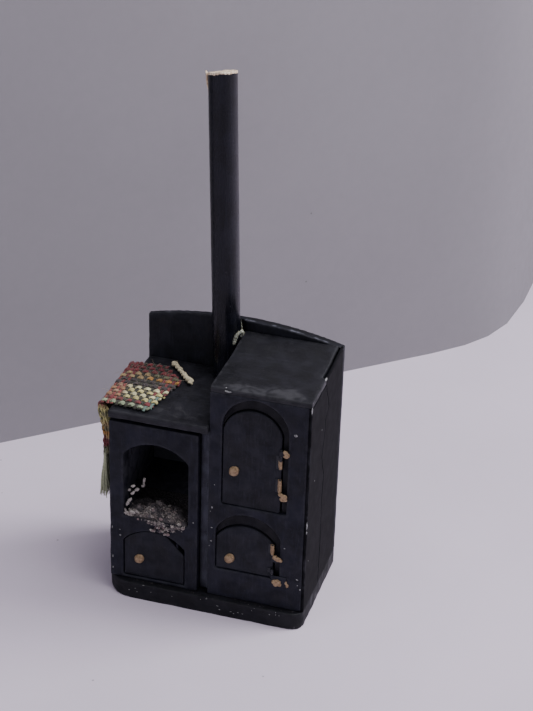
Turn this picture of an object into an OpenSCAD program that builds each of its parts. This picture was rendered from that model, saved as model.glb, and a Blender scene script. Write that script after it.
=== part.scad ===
// A hand-made dolls' house kitchen range: a firebox and hob on the left, two ovens on the right,
// a round flue pipe behind the hob and a scrap of woven cloth drying over the hob's left end.
// Millimetres, +Z up. The origin is the centre of the base board's underside.
// Inside the modules, x and y run from the body's front left corner (see in_body).

/* [Body] */
// Width of the body over its side panels
body_w = 60; // [56:0.5:66]
// Depth from the front panels' faces to the back of the back board
body_d = 35.8; // [34:0.2:40]
// Height of the hob's top
hob_h = 63.2; // [62:0.2:65]
// Height of the oven's top
oven_h = 76; // [75.5:0.5:80]

/* [Base board] */
// Thickness of the base board
base_t = 5.6; // [5:0.1:6]
// How far the base stands out in front of the front panels
base_front_lip = 2; // [1:0.1:4]
// How far the base stands out at the firebox end
base_left_lip = 1.4; // [0.5:0.1:3]
// Radius of the base's corner at the firebox end
base_left_radius = 8; // [3:0.5:9]
// Radius of the base's corner at the oven end
base_right_radius = 3.5; // [1:0.5:6]

/* [Panels] */
// Thickness of the back board
back_t = 2; // [1.5:0.1:3]
// Height of the back board at the crown of its arched top
back_crown_h = 80.5; // [79.8:0.1:84]
// Radius of the back board's arched top
back_crown_r = 120; // [100:5:200]
// Width of the firebox front panel
firebox_w = 27.2; // [26:0.1:28]
// Thickness of the firebox front panel
firebox_front_t = 5; // [4:0.2:6]
// Thickness of the oven front panel
oven_front_t = 3; // [2.8:0.1:3.6]
// Thickness of the inner panels and shelves
panel_t = 2; // [1.6:0.1:2.4]
// Thickness of the two card skins on the oven's right side
skin_t = 0.8; // [0.5:0.1:1]
// Thickness of the hob board
hob_t = 2.4; // [2:0.1:2.6]

/* [Firebox] */
// Width of the fire mouth
fire_mouth_w = 19.8; // [16:0.2:21]
// Height of the fire mouth's sill
fire_sill_h = 27.6; // [27:0.1:29]
// Height where the fire mouth's arch springs
fire_spring_h = 48.6; // [44:0.2:50]
// Rise of the fire mouth's arch
fire_rise = 4.6; // [3:0.1:5.5]
// Width of the ash door's opening
ash_mouth_w = 19; // [16:0.2:20]
// Height of the ash door's crown in its opening
ash_crown_h = 23.5; // [22:0.1:24]

/* [Ovens] */
// Width of both oven mouths
oven_mouth_w = 19.4; // [18.6:0.1:20]
// Width of both oven doors
oven_door_w = 17.1; // [16:0.1:17.5]
// Thickness of the oven doors
oven_door_t = 1.6; // [1.2:0.1:1.8]
// How far the oven doors sit behind the front panel's face
oven_door_recess = 0.9; // [0.8:0.1:1]
// Diameter of the brass knob heads
knob_d = 3.2; // [2:0.1:3.6]

/* [Flue] */
// Diameter of the flue dowel
flue_d = 8.4; // [7:0.1:8.6]
// Height of the flue's top
flue_top_h = 159; // [120:0.5:170]
// Lean of the flue towards the firebox end, in degrees
flue_lean = 1.84; // [0:0.02:3]

/* [Hidden] */
$fn = 64;

paint = [0.10, 0.11, 0.14];
worn_paint = [0.22, 0.22, 0.26];
brass = [0.80, 0.62, 0.36];
steel = [0.55, 0.56, 0.58];
ash_grey = [0.58, 0.55, 0.56];
through = 1;

base_w = body_w + base_left_lip;
base_d = body_d + base_front_lip;
body_left = base_left_lip - base_w / 2;
body_front = base_front_lip - base_d / 2;

// The left and right halves of the body.
inner_back = body_d - back_t;
oven_left = firebox_w + 3.1;
divider_right = oven_left + panel_t;
skin_left = body_w - skin_t;
carcass_right = skin_left - panel_t;
oven_top_t = 2;
oven_panel_top = oven_h - oven_top_t;
hob_underside = hob_h - hob_t;
rail_h = 1.6;
rail_setback = 1.6;
firebox_panel_top = hob_underside - rail_h;
cheek_setback = 2.4;
side_seam = 15.4;
top_slit = 0.5;
hob_overhang = 1.2;
hob_left_inset = 0.3;

// Openings in the front panels, each given by its centre across the body and its heights.
fire_mouth_x = 14.3;
ash_mouth_x = 13.75;
ash_mouth_floor = 6.6;
ash_rise = 4.5;
upper_mouth_x = 43.9;
upper_mouth_floor = 38;
upper_mouth_crown = 73.4;
lower_mouth_x = 42.45;
lower_mouth_floor = 15.4;
lower_mouth_crown = 35.3;
lower_mouth_rise = 6.3;

// Doors hang on the right, so their arches are narrower than the mouths.
door_floor_gap = 0.25;
door_left_gap = 0.25;
upper_door_crown = 69.8;
upper_door_rise = 7;
lower_door_crown = 31.1;
lower_door_rise = 4.6;

// The oven doors' hinges: a thin barrel on the door, an eye and leaf on the frame.
barrel_r = 0.55;
barrel_bore_r = 0.35;
hinge_pin_r = 0.3;
eye_bore_r = 0.31;
leaf_t = 0.25;
hinge_gap = 0.1;
upper_hinge_x = upper_mouth_x - oven_mouth_w / 2 + door_left_gap + oven_door_w - 0.1;
lower_hinge_x = lower_mouth_x - oven_mouth_w / 2 + door_left_gap + oven_door_w - 0.1;
hinge_y = oven_door_recess - barrel_r;
// Each hinge: [bottom of eye, top of eye, bottom of barrel, top of barrel, leaf reach, bottom of leaf].
upper_hinges = [[57.2, 59.2, 52.6, 57.1, 2.9, 57.2], [43.0, 44.8, 44.9, 49.3, 2.4, 43.0]];
lower_hinges = [[21.4, 23.5, 23.6, 27.0, 2.3, 21.4], [15.6, 16.8, 16.9, 18.6, 4.6, 13.2]];

// The ash door turns on two steel pins hidden in its right edge.
ash_door_gap = 0.3;
ash_door_t = 2;
ash_door_recess = 0.3;
ash_door_crown = 23.15;
ash_door_rise = 4.3;
// Its right shoulder is pared off so that it clears the arch as it swings out.
ash_pare_at = [18, 22];
ash_pare_angle = 45.3;
ash_pare_l = 12;
ash_pin_r = 0.3;
ash_pin_bore_r = 0.35;
ash_pin_x = ash_mouth_x + ash_mouth_w / 2 - ash_door_gap - 2.15;
ash_pin_y = ash_door_recess + 0.65;
ash_lower_pin_top = 9.4;
ash_upper_pin_bottom = 14;
ash_upper_pin_top = 24.6;

knob_h = 0.9;
knob_shank_r = 0.35;
knob_bore_r = 0.4;
knob_shank_l = 1.3;

flue_x = oven_left - flue_d / 2 - 0.05;
flue_y = inner_back - flue_d / 2 - 0.1;
flue_cut_rise = 11;
flue_cut_back = 14;

deck_top = fire_sill_h - 0.1;
cloth_bottom = 47;
cloth_clear = 0.1;
cloth_t = 1.5;
cloth_outer_x = -3.8;
cloth_front = 2.6;
cloth_rear = 27.2;
fringe_bottom = 31;

// Moves a shape drawn from the body's front left corner into the part's own frame.
module in_body()
    translate([body_left, body_front, 0])
    children();

// A rectangular board between two corners.
module board(low, high)
    in_body()
    translate(low)
    cube(high - low);

// A doorway outline with a round-arched head, centred on x = 0, standing on y = 0.
module arch_outline(width, crown, rise) {
    radius = (width * width / 4 + rise * rise) / (2 * rise);
    translate([-width / 2, 0])
    square([width, crown - radius]);
    intersection() {
        translate([0, crown - radius])
        circle(radius, $fn = 128);
        translate([-width / 2, 0])
        square([width, crown]);
    }
}

// A doorway-shaped solid from y = front to y = front + depth.
module arch_solid(x, floor_h, width, crown_h, rise, front, depth)
    translate([x, front + depth, floor_h])
    rotate([90, 0, 0])
    linear_extrude(depth)
    arch_outline(width, crown_h - floor_h, rise);

// An upright round hole or pin.
module upright(x, y, bottom, top, r)
    translate([x, y, bottom])
    cylinder(r = r, h = top - bottom);

// ---- Carcass ----

module base_board() {
    module rounding(r, mirrored) {
        mirror([mirrored ? 1 : 0, 0])
        difference() {
            translate([-through, -through])
            square(r + through);
            translate([r, r])
            circle(r);
            translate([r, -through])
            square([through, r + 2 * through]);
        }
    }
    color(paint)
    translate([-base_w / 2, -base_d / 2, 0])
    linear_extrude(base_t)
    difference() {
        square([base_w, base_d]);
        rounding(base_left_radius, false);
        translate([base_w, 0])
        rounding(base_right_radius, true);
    }
}

module back_board()
    color(paint)
    in_body()
    translate([0, body_d, 0])
    rotate([90, 0, 0])
    linear_extrude(back_t)
    intersection() {
        translate([0, base_t])
        square([body_w, back_crown_h]);
        translate([body_w / 2 - 1.5, back_crown_h - back_crown_r])
        circle(back_crown_r, $fn = 360);
    }

module left_side_panel()
    color(paint)
    board([0, firebox_front_t, base_t], [panel_t, inner_back, hob_underside]);

module firebox_front_panel()
    color(paint)
    in_body()
    difference() {
        translate([0, 0, base_t])
        cube([firebox_w, firebox_front_t, firebox_panel_top - base_t]);
        arch_solid(fire_mouth_x, fire_sill_h, fire_mouth_w, fire_spring_h + fire_rise, fire_rise,
            -through, firebox_front_t + 2 * through);
        arch_solid(ash_mouth_x, ash_mouth_floor, ash_mouth_w, ash_crown_h, ash_rise,
            -through, firebox_front_t + 2 * through);
        upright(ash_pin_x, ash_pin_y, base_t - through, ash_mouth_floor + through, ash_pin_r);
        upright(ash_pin_x, ash_pin_y, ash_upper_pin_bottom, ash_upper_pin_top, ash_pin_r);
    }

module firebox_cheek()
    color(paint)
    board([firebox_w, cheek_setback, base_t], [oven_left, firebox_front_t, firebox_panel_top]);

module hob_rail()
    color(paint)
    board([hob_left_inset, rail_setback, firebox_panel_top],
        [oven_left, firebox_front_t, hob_underside]);

module hob_board()
    color(worn_paint)
    board([hob_left_inset, -hob_overhang, hob_underside], [oven_left, inner_back, hob_h]);

module fire_deck()
    color(paint)
    board([panel_t, firebox_front_t, deck_top - panel_t], [oven_left, inner_back, deck_top]);

module divider_panel()
    color(paint)
    board([oven_left, oven_front_t, base_t], [divider_right, inner_back, oven_panel_top]);

module right_side_panel()
    color(paint)
    board([carcass_right, oven_front_t, base_t], [skin_left, inner_back, oven_panel_top]);

module front_side_skin()
    color(worn_paint)
    board([skin_left, 0, base_t], [body_w, side_seam, oven_panel_top]);

module rear_side_skin()
    color(worn_paint)
    board([skin_left, side_seam, base_t], [body_w, inner_back, oven_h - 0.2]);

module oven_front_panel()
    color(paint)
    in_body()
    difference() {
        translate([oven_left, 0, base_t])
        cube([skin_left - oven_left, oven_front_t, oven_panel_top - base_t]);
        arch_solid(upper_mouth_x, upper_mouth_floor, oven_mouth_w, upper_mouth_crown,
            oven_mouth_w / 2 - 0.01, -through, oven_front_t + 2 * through);
        arch_solid(lower_mouth_x, lower_mouth_floor, oven_mouth_w, lower_mouth_crown,
            lower_mouth_rise, -through, oven_front_t + 2 * through);
    }

module oven_shelf()
    color(paint)
    board([divider_right, oven_front_t, upper_mouth_floor - panel_t - 0.2],
        [carcass_right, inner_back, upper_mouth_floor - 0.2]);

module oven_floor()
    color(paint)
    board([divider_right, oven_front_t, lower_mouth_floor - panel_t - 0.2],
        [carcass_right, inner_back, lower_mouth_floor - 0.2]);

module oven_top_board()
    color(worn_paint)
    in_body()
    translate([0, 0, oven_panel_top])
    linear_extrude(oven_top_t)
    polygon([
        [oven_left, 0],
        [body_w, 0],
        [body_w, side_seam],
        [skin_left - top_slit, side_seam],
        [skin_left - top_slit, inner_back - top_slit],
        [oven_left, inner_back - top_slit]
    ]);

// ---- Flue, glue and ash ----

module flue_dowel()
    color(paint)
    in_body()
    difference() {
        translate([flue_x, flue_y, hob_h])
        rotate([0, -flue_lean, 0])
        translate([0, 0, -through])
        cylinder(d = flue_d, h = flue_top_h - hob_h + 3 * through);
        translate([flue_x - flue_d, flue_y - flue_d, hob_h - flue_d])
        cube([2 * flue_d, 2 * flue_d, flue_d]);
        translate([flue_x - flue_d - 4, flue_y - flue_d, flue_top_h - 2 * through])
        rotate([-flue_cut_back, -flue_cut_rise, 0])
        cube([4 * flue_d, 2 * flue_d, flue_d]);
    }

module glue_beads()
    color("ivory")
    in_body() {
        translate([29.45, 25.45, 74.6])
        sphere(0.8);
        translate([31.9, 27.6, oven_h + 0.7])
        sphere(0.7);
    }

module ash_heap() {
    heap_r = 8.6;
    heap_h = 3.6;
    heap_y = heap_r + 0.5;
    ball_r = (heap_r * heap_r + heap_h * heap_h) / (2 * heap_h);
    color(ash_grey)
    in_body()
    translate([fire_mouth_x, heap_y, fire_sill_h])
    intersection() {
        translate([0, 0, heap_h - ball_r])
        sphere(ball_r, $fn = 96);
        translate([-heap_r - 1, -heap_r - 1, 0])
        cube([2 * heap_r + 2, 2 * heap_r + 2, heap_h + 1]);
    }
}

module ash_spill()
    color(ash_grey)
    board([8, -1.3, ash_crown_h + 0.3], [23.5, 0, fire_sill_h - 0.1]);

// Pale flakes stacked in the left corner of the fire mouth.
module ash_flakes() {
    flake = [1.4, 1.6, 1.9];
    color(ash_grey)
    in_body()
    for (i = [0:3])
        translate([4.9 + 0.9 * i, 0.6 + 0.4 * i, 31.9 + 2.1 * i])
        cube(flake);
}

// ---- Oven doors ----

module door_panel(x, floor_h, crown_h, rise, knob_x, knob_z)
    color(paint)
    in_body()
    difference() {
        arch_solid(x, floor_h, oven_door_w, crown_h, rise, oven_door_recess, oven_door_t);
        translate([knob_x, oven_door_recess + oven_door_t + through, knob_z])
        rotate([90, 0, 0])
        cylinder(r = knob_bore_r, h = oven_door_t + 2 * through);
    }

// A round-headed brass pin: a domed head in front of the face, a shank into the door.
module knob(x, face_y, z)
    color(brass)
    in_body()
    translate([x, face_y, z])
    rotate([90, 0, 0]) {
        dome_r = (knob_d * knob_d / 4 + knob_h * knob_h) / (2 * knob_h);
        intersection() {
            translate([0, 0, knob_h - dome_r])
            sphere(dome_r);
            cylinder(d = knob_d, h = knob_h + through);
        }
        translate([0, 0, -knob_shank_l])
        cylinder(r = knob_shank_r, h = knob_shank_l + knob_h / 2);
    }

// The barrels on a door, each with a narrow plate that lies on the door's face.
module door_barrels(x, hinges)
    color(brass)
    in_body()
    for (h = hinges)
        difference() {
            union() {
                upright(x, hinge_y, h[2], h[3], barrel_r);
                translate([x - 1.5, oven_door_recess - leaf_t, h[2]])
                cube([1.5, leaf_t, h[3] - h[2]]);
            }
            upright(x, hinge_y, h[2] - through, h[3] + through, barrel_bore_r);
        }

// The eyes and leaves on the frame, one beside each barrel.
module frame_leaves(x, hinges)
    color(brass)
    in_body()
    for (h = hinges)
        difference() {
            union() {
                upright(x, hinge_y, h[0], h[1], barrel_r);
                translate([x, -leaf_t, h[5]])
                cube([h[4], leaf_t, h[1] - h[5]]);
            }
            upright(x, hinge_y, h[0] - through, h[1] + through, eye_bore_r);
        }

module hinge_pins(x, hinges)
    color(steel)
    in_body()
    for (h = hinges)
        upright(x, hinge_y, min(h[0], h[2]) + hinge_gap, max(h[1], h[3]) - hinge_gap, hinge_pin_r);

upper_door_x = upper_mouth_x - oven_mouth_w / 2 + door_left_gap + oven_door_w / 2;
lower_door_x = lower_mouth_x - oven_mouth_w / 2 + door_left_gap + oven_door_w / 2;
upper_knob_at = [38.2, 49.9];
lower_knob_at = [37.0, 19.4];
ash_knob_at = [9.1, 13.1];

module upper_oven_door()
    door_panel(upper_door_x, upper_mouth_floor + door_floor_gap, upper_door_crown,
        upper_door_rise, upper_knob_at[0], upper_knob_at[1]);

module upper_door_knob()
    knob(upper_knob_at[0], oven_door_recess, upper_knob_at[1]);

module upper_door_barrels()
    door_barrels(upper_hinge_x, upper_hinges);

module upper_frame_leaves()
    frame_leaves(upper_hinge_x, upper_hinges);

module upper_hinge_pins()
    hinge_pins(upper_hinge_x, upper_hinges);

module lower_oven_door()
    door_panel(lower_door_x, lower_mouth_floor + door_floor_gap, lower_door_crown,
        lower_door_rise, lower_knob_at[0], lower_knob_at[1]);

module lower_door_knob()
    knob(lower_knob_at[0], oven_door_recess, lower_knob_at[1]);

module lower_door_barrels()
    door_barrels(lower_hinge_x, lower_hinges);

module lower_frame_leaves()
    frame_leaves(lower_hinge_x, lower_hinges);

module lower_hinge_pins()
    hinge_pins(lower_hinge_x, lower_hinges);

// ---- Ash door ----

module ash_door()
    color(paint)
    in_body()
    difference() {
        arch_solid(ash_mouth_x, ash_mouth_floor + ash_door_gap, ash_mouth_w - 2 * ash_door_gap,
            ash_door_crown, ash_door_rise, ash_door_recess, ash_door_t);
        translate([ash_pare_at[0], ash_door_recess - through, ash_pare_at[1]])
        rotate([0, ash_pare_angle, 0])
        translate([-ash_pare_l / 4, 0, 0])
        cube([ash_pare_l, ash_door_t + 2 * through, ash_pare_l]);
        translate([ash_knob_at[0], ash_door_recess + ash_door_t + through, ash_knob_at[1]])
        rotate([90, 0, 0])
        cylinder(r = knob_bore_r, h = ash_door_t + 2 * through);
        upright(ash_pin_x, ash_pin_y, base_t, ash_lower_pin_top + 0.2, ash_pin_bore_r);
        upright(ash_pin_x, ash_pin_y, ash_upper_pin_bottom - 0.2, ash_upper_pin_top, ash_pin_bore_r);
    }

module ash_door_knob()
    knob(ash_knob_at[0], ash_door_recess, ash_knob_at[1]);

module ash_pivot_pins()
    color(steel)
    in_body() {
        upright(ash_pin_x, ash_pin_y, base_t, ash_lower_pin_top, ash_pin_r - 0.01);
        upright(ash_pin_x, ash_pin_y, ash_upper_pin_bottom, ash_upper_pin_top, ash_pin_r - 0.01);
    }

// ---- Cloth ----

// The scrap lies on the hob, bends over its left end and hangs down the side.
module woven_cloth() {
    top_outline = [
        [cloth_outer_x, cloth_front],
        [12, 0.6],
        [13.6, 9],
        [15.6, 19.6],
        [8.4, cloth_rear],
        [cloth_outer_x, cloth_rear]
    ];
    color("indianred")
    in_body() {
        translate([0, 0, hob_h + cloth_clear])
        linear_extrude(cloth_t)
        polygon(top_outline);
        translate([cloth_outer_x, cloth_front, cloth_bottom])
        cube([cloth_t, cloth_rear - cloth_front, hob_h + cloth_t + cloth_clear - cloth_bottom]);
    }
}

module cloth_fringe()
    color("darkseagreen")
    board([cloth_outer_x, cloth_front, fringe_bottom],
        [cloth_outer_x + cloth_t, cloth_rear, cloth_bottom]);

module selvedge_yarn() {
    yarn_r = 0.8;
    start = [9.2, 29.3];
    end = [18.7, 19.9];
    color("wheat")
    in_body()
    translate([start[0], start[1], hob_h + yarn_r + cloth_clear])
    rotate([0, 0, atan2(end[1] - start[1], end[0] - start[0])])
    rotate([0, 90, 0])
    cylinder(r = yarn_r, h = norm(end - start));
}

base_board();
back_board();
left_side_panel();
firebox_front_panel();
firebox_cheek();
hob_rail();
hob_board();
fire_deck();
divider_panel();
right_side_panel();
front_side_skin();
rear_side_skin();
oven_front_panel();
oven_shelf();
oven_floor();
oven_top_board();
flue_dowel();
glue_beads();
ash_heap();
ash_spill();
ash_flakes();
upper_oven_door();
upper_door_knob();
upper_door_barrels();
upper_frame_leaves();
upper_hinge_pins();
lower_oven_door();
lower_door_knob();
lower_door_barrels();
lower_frame_leaves();
lower_hinge_pins();
ash_door();
ash_door_knob();
ash_pivot_pins();
woven_cloth();
cloth_fringe();
selvedge_yarn();
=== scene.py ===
"""A hand-made dolls' house kitchen range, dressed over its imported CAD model."""

import math

import bmesh
import bpy
import numpy as np
from mathutils import Matrix, Vector, kdtree


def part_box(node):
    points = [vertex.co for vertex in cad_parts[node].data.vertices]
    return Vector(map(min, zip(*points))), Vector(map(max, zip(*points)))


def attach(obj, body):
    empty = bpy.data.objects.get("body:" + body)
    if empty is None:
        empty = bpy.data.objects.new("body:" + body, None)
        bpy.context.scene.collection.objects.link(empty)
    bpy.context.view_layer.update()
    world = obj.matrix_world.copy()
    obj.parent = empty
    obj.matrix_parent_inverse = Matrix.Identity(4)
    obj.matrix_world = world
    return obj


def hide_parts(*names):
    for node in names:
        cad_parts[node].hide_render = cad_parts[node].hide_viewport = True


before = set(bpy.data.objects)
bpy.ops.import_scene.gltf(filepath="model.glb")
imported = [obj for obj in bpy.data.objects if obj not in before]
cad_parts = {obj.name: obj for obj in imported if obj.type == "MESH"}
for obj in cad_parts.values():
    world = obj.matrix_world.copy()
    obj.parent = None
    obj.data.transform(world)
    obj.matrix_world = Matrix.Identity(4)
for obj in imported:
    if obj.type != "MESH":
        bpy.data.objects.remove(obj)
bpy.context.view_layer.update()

MM = 0.001

# Lengths below are millimetres from the body's front left corner on the floor.
# CORNER is that point in the part's own frame.
CORNER = np.array([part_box("back_board")[0].x / MM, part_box("oven_front_panel")[0].y / MM, 0.0])


def node_box(node):
    """A CAD node's lowest and highest corners, in millimetres from the body's corner."""
    low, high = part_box(node)
    return np.array(low) / MM - CORNER, np.array(high) / MM - CORNER


HOB_TOP = node_box("hob_board")[1][2]
OVEN_TOP = node_box("oven_top_board")[1][2]
SILL = node_box("ash_spill")[1][2]
SKIN_SEAM = node_box("front_side_skin")[1][1]


# ---- Noise and small tools ----

def lattice(cells, seed):
    """A repeatable number from 0 to 1 for each whole-number cell."""
    mask = 0xFFFFFFFF
    h = (cells[:, 0] * 374761393 + cells[:, 1] * 668265263 + cells[:, 2] * 1440662683) & mask
    h = (h + seed * 1274126177) & mask
    h = ((h ^ (h >> 13)) * 1274126177) & mask
    h = ((h ^ (h >> 16)) * 2246822519) & mask
    return ((h >> 8) & 0xFFFF) / 65535.0


def lumps(points, cell, seed=0, octaves=2):
    """Smooth noise from about -1 to 1, with features of the size cell."""
    total = np.zeros(len(points))
    weight = 0.0
    for octave in range(octaves):
        q = np.asarray(points, float) / (cell / 2 ** octave) + 1000
        base = np.floor(q).astype(np.int64)
        f = q - base
        f = f * f * (3 - 2 * f)
        part = np.zeros(len(points))
        for corner in np.ndindex(2, 2, 2):
            step = np.array(corner)
            share = np.prod(np.where(step, f, 1 - f), axis=1)
            part += share * lattice(base + step, seed + 17 * octave)
        total += (part * 2 - 1) / 2 ** octave
        weight += 1 / 2 ** octave
    return total / weight


def smooth(value, low, high):
    """From 0 at the low value to 1 at the high one, with soft ends."""
    t = np.clip((value - low) / (high - low), 0, 1)
    return t * t * (3 - 2 * t)


def bell(value, middle, spread):
    """1 at the middle value, falling away smoothly over the spread."""
    return np.exp(-((value - middle) / spread) ** 2)


def xyz(*parts):
    """Coordinates side by side, one row for each point; a single number holds for all rows."""
    return np.stack(np.broadcast_arrays(*parts), -1).astype(float)


def net(rows, columns, closed=False):
    """Quads between neighbouring rows of points; closed joins each row's ends."""
    faces = []
    for i in range(rows - 1):
        for j in range(columns if closed else columns - 1):
            a, b = i * columns + j, i * columns + (j + 1) % columns
            faces.append([a, b, b + columns, a + columns])
    return faces


def mesh_object(name, points, faces, material, flat=False, **attributes):
    """A mesh from points in millimetres, with float or colour attributes on its points."""
    mesh = bpy.data.meshes.new(name)
    mesh.from_pydata((np.asarray(points, float) + CORNER) * MM, [], faces)
    mesh.validate()
    if not flat:
        mesh.polygons.foreach_set("use_smooth", [True] * len(mesh.polygons))
    for key, values in attributes.items():
        values = np.asarray(values, np.float32)
        if values.ndim == 2:
            layer = mesh.attributes.new(key, "FLOAT_COLOR", "POINT")
            rgba = np.ones((len(values), 4), np.float32)
            rgba[:, :3] = values
            layer.data.foreach_set("color", rgba.ravel())
        else:
            layer = mesh.attributes.new(key, "FLOAT", "POINT")
            layer.data.foreach_set("value", values)
    mesh.update()
    mesh.materials.append(material)
    obj = bpy.data.objects.new(name, mesh)
    bpy.context.scene.collection.objects.link(obj)
    return obj


def dress(obj, body, slot, *nodes):
    """Rides a piece on its body and hides the CAD nodes that it stands for; the slot is not used.
    """
    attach(obj, body)
    if nodes:
        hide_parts(*nodes)
    return obj


# ---- Materials ----

class Shader:
    """A procedural material, built in short calls."""

    def __init__(self, name, **fixed):
        self.material = bpy.data.materials.new(name)
        self.material.use_nodes = True
        self.tree = self.material.node_tree
        self.surface = self.tree.nodes["Principled BSDF"]
        for socket, value in fixed.items():
            self.surface.inputs[socket.replace("_", " ")].default_value = value
        self.place = self.node("TexCoord").outputs["Object"]

    def feed(self, socket, value):
        if isinstance(value, bpy.types.NodeSocket):
            self.tree.links.new(value, socket)
        elif isinstance(value, tuple) and len(value) == 3 and socket.type == "RGBA":
            socket.default_value = (*value, 1)
        else:
            socket.default_value = value

    def node(self, kind, inputs=None, **settings):
        made = self.tree.nodes.new("ShaderNode" + kind)
        for key, value in settings.items():
            setattr(made, key, value)
        for key, value in (inputs or {}).items():
            self.feed(made.inputs[key], value)
        return made

    def noise(self, size_mm, detail=3, stretch=(1, 1, 1), warp=0.0):
        """Noise whose features are about size_mm across, longer along a stretched axis."""
        scale = tuple(1 / (size_mm * MM * s) for s in stretch)
        mapped = self.node("Mapping", {"Vector": self.place, "Scale": scale}).outputs[0]
        made = self.node("TexNoise", {
            "Vector": mapped, "Scale": 1.0, "Detail": float(detail), "Distortion": warp})
        return made.outputs[0]

    def math(self, operation, a, b=0.0):
        made = self.node("Math", {0: a, 1: b}, operation=operation)
        return made.outputs[0]

    def ramp(self, value, low, high, to_low=0.0, to_high=1.0):
        made = self.node("MapRange", {
            "Value": value, "From Min": low, "From Max": high,
            "To Min": to_low, "To Max": to_high}, interpolation_type="SMOOTHSTEP")
        return made.outputs[0]

    def mix(self, share, a, b):
        made = self.node("Mix", {0: share, 6: a, 7: b}, data_type="RGBA")
        return made.outputs[2]

    def plus(self, a, b, share):
        return self.math("ADD", a, self.math("MULTIPLY", b, share))

    def uneven(self, low, high, *noise, **options):
        """Noise brought into the range from low to high."""
        return self.ramp(self.noise(*noise, **options), 0.3, 0.7, low, high)

    def attribute(self, name):
        return self.node("Attribute", attribute_name=name).outputs["Fac"]

    def tint(self):
        return self.node("Attribute", attribute_name="tint").outputs["Color"]

    def specks(self, size_mm, radius, share):
        """Small round dots, in that share of the cells."""
        scale = 1 / (size_mm * MM)
        cells = self.node("TexVoronoi", {"Vector": self.place, "Scale": scale})
        chosen = self.node("SeparateColor", {0: cells.outputs["Color"]}).outputs[0]
        near = self.ramp(cells.outputs["Distance"], radius, radius * 0.5)
        return self.math("MULTIPLY", near, self.ramp(chosen, 1 - share, 1 - share + 0.01))

    def finish(self, colour=None, rough=None, height=None, depth_mm=0.05, strength=0.6):
        if colour is not None:
            self.feed(self.surface.inputs["Base Color"], colour)
        if rough is not None:
            self.feed(self.surface.inputs["Roughness"], rough)
        if height is not None:
            bump = self.node("Bump", {
                "Height": height, "Strength": strength, "Distance": depth_mm * MM})
            self.feed(self.surface.inputs["Normal"], bump.outputs[0])
        return self.material


def painted(name, base, brush=(1, 1, 8), rough=0.6, wear=0.5, worn=(0.022, 0.023, 0.03),
            rubbed_and_lit=(0.04, 0.041, 0.05), speck_share=0.03, streaks=0.45,
            relief=0.55, spread=1.0):
    """Thin dark paint brushed over wood, rubbed pale on its edges and spattered with specks, with
    pale patches that are partly rubbed paint and partly painted light, and near-black painted
    shade.
    """
    s = Shader(name, Specular_IOR_Level=0.22 * streaks / 0.45)
    dark = tuple((1 - 0.5 * spread) * c for c in base)
    light = tuple(1.8 * c + 0.0025 for c in base)
    blotch = s.noise(7, 5, warp=0.6)
    grain = s.noise(0.5, 4)
    streak = s.noise(0.55, 4, stretch=brush)
    colour = s.mix(s.ramp(blotch, 0.36, 0.66), dark, base)
    colour = s.mix(s.ramp(streak, 0.5, 0.78, 0.0, streaks), colour, light)
    colour = s.mix(s.ramp(grain, 0.52, 0.8, 0.0, 0.9 * streaks), colour, light)
    edge = s.math("ADD", s.attribute("wear"), s.uneven(-0.42, 0.32, 2.2, 5))
    colour = s.mix(s.ramp(edge, 0.5, 0.95, 0.0, wear), colour, worn)
    # The patch marks lay a pale colour: rubbed paint in some places, painted light in others.
    patch = s.math("ADD", s.attribute("patch"), s.uneven(-0.3, 0.25, 3.5, 6, warp=0.8))
    colour = s.mix(s.ramp(patch, 0.3, 0.85), colour, rubbed_and_lit)
    colour = s.mix(s.specks(2.6, 0.07, speck_share), colour, (0.13, 0.13, 0.14))
    # The gap marks lay painted shade: near black in seams, slits and dark lines.
    colour = s.mix(s.attribute("gap"), colour, (0.0015, 0.0015, 0.002))
    shine = s.uneven(rough - 0.1 * spread, rough + 0.14 * spread, 3.0, 4)
    height = s.plus(s.math("MULTIPLY", streak, 0.7), grain, 0.5)
    height = s.plus(height, s.noise(0.16, 2), 0.3)
    return s.finish(colour, shine, height, 0.09, relief)


BODY = painted("matt_blue_black_paint", (0.0086, 0.0094, 0.0178))
# Its pale colour is painted light on the faces inside the firebox.
BACK = painted("back_paint", (0.0092, 0.0098, 0.0158), rubbed_and_lit=(0.12, 0.122, 0.15))
DOOR = painted("door_paint", (0.0105, 0.0111, 0.0175), wear=0.3)
TOP = painted("top_paint", (0.0112, 0.0115, 0.0152), brush=(9, 1, 1), rough=0.52,
              worn=(0.028, 0.028, 0.033), rubbed_and_lit=(0.037, 0.037, 0.042))
# The hob's paint is a lighter copy of the top paint: painted light on the hob.
HOB = painted("hob_paint", (0.0165, 0.0168, 0.022), brush=(9, 1, 1), rough=0.52,
              worn=(0.028, 0.028, 0.033), rubbed_and_lit=(0.043, 0.043, 0.048))
# The side skins' paint is mixed far darker than the front's: painted shade against the lamp that
# lights this side.
SIDE = painted("side_skin_paint", (0.0034, 0.0035, 0.0046), brush=(1, 1, 30), rough=0.66,
               speck_share=0.012, worn=(0.009, 0.009, 0.0115), rubbed_and_lit=(0.024, 0.024, 0.029),
               streaks=0.1, relief=0.1, spread=0.25)
BASE = painted("base_paint", (0.0052, 0.0055, 0.0085), brush=(6, 1, 1),
               worn=(0.012, 0.012, 0.0155), rubbed_and_lit=(0.06, 0.06, 0.068), speck_share=0.06)


# Soot on wood, its greys lifted above soot's own black as painted light in the dark firebox.
def soot_and_light_material():
    s = Shader("soot_with_painted_light", Specular_IOR_Level=0.2)
    cake = s.noise(2.5, 6, warp=0.8)
    fibre = s.noise(0.4, 3, stretch=(1, 1, 9))
    colour = s.mix(s.ramp(cake, 0.35, 0.7), (0.03, 0.031, 0.042), (0.07, 0.07, 0.088))
    colour = s.mix(s.ramp(fibre, 0.55, 0.8, 0, 0.4), colour, (0.12, 0.115, 0.12))
    return s.finish(colour, s.ramp(cake, 0.3, 0.7, 0.75, 0.95), s.plus(cake, fibre, 0.4), 0.12)


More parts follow.
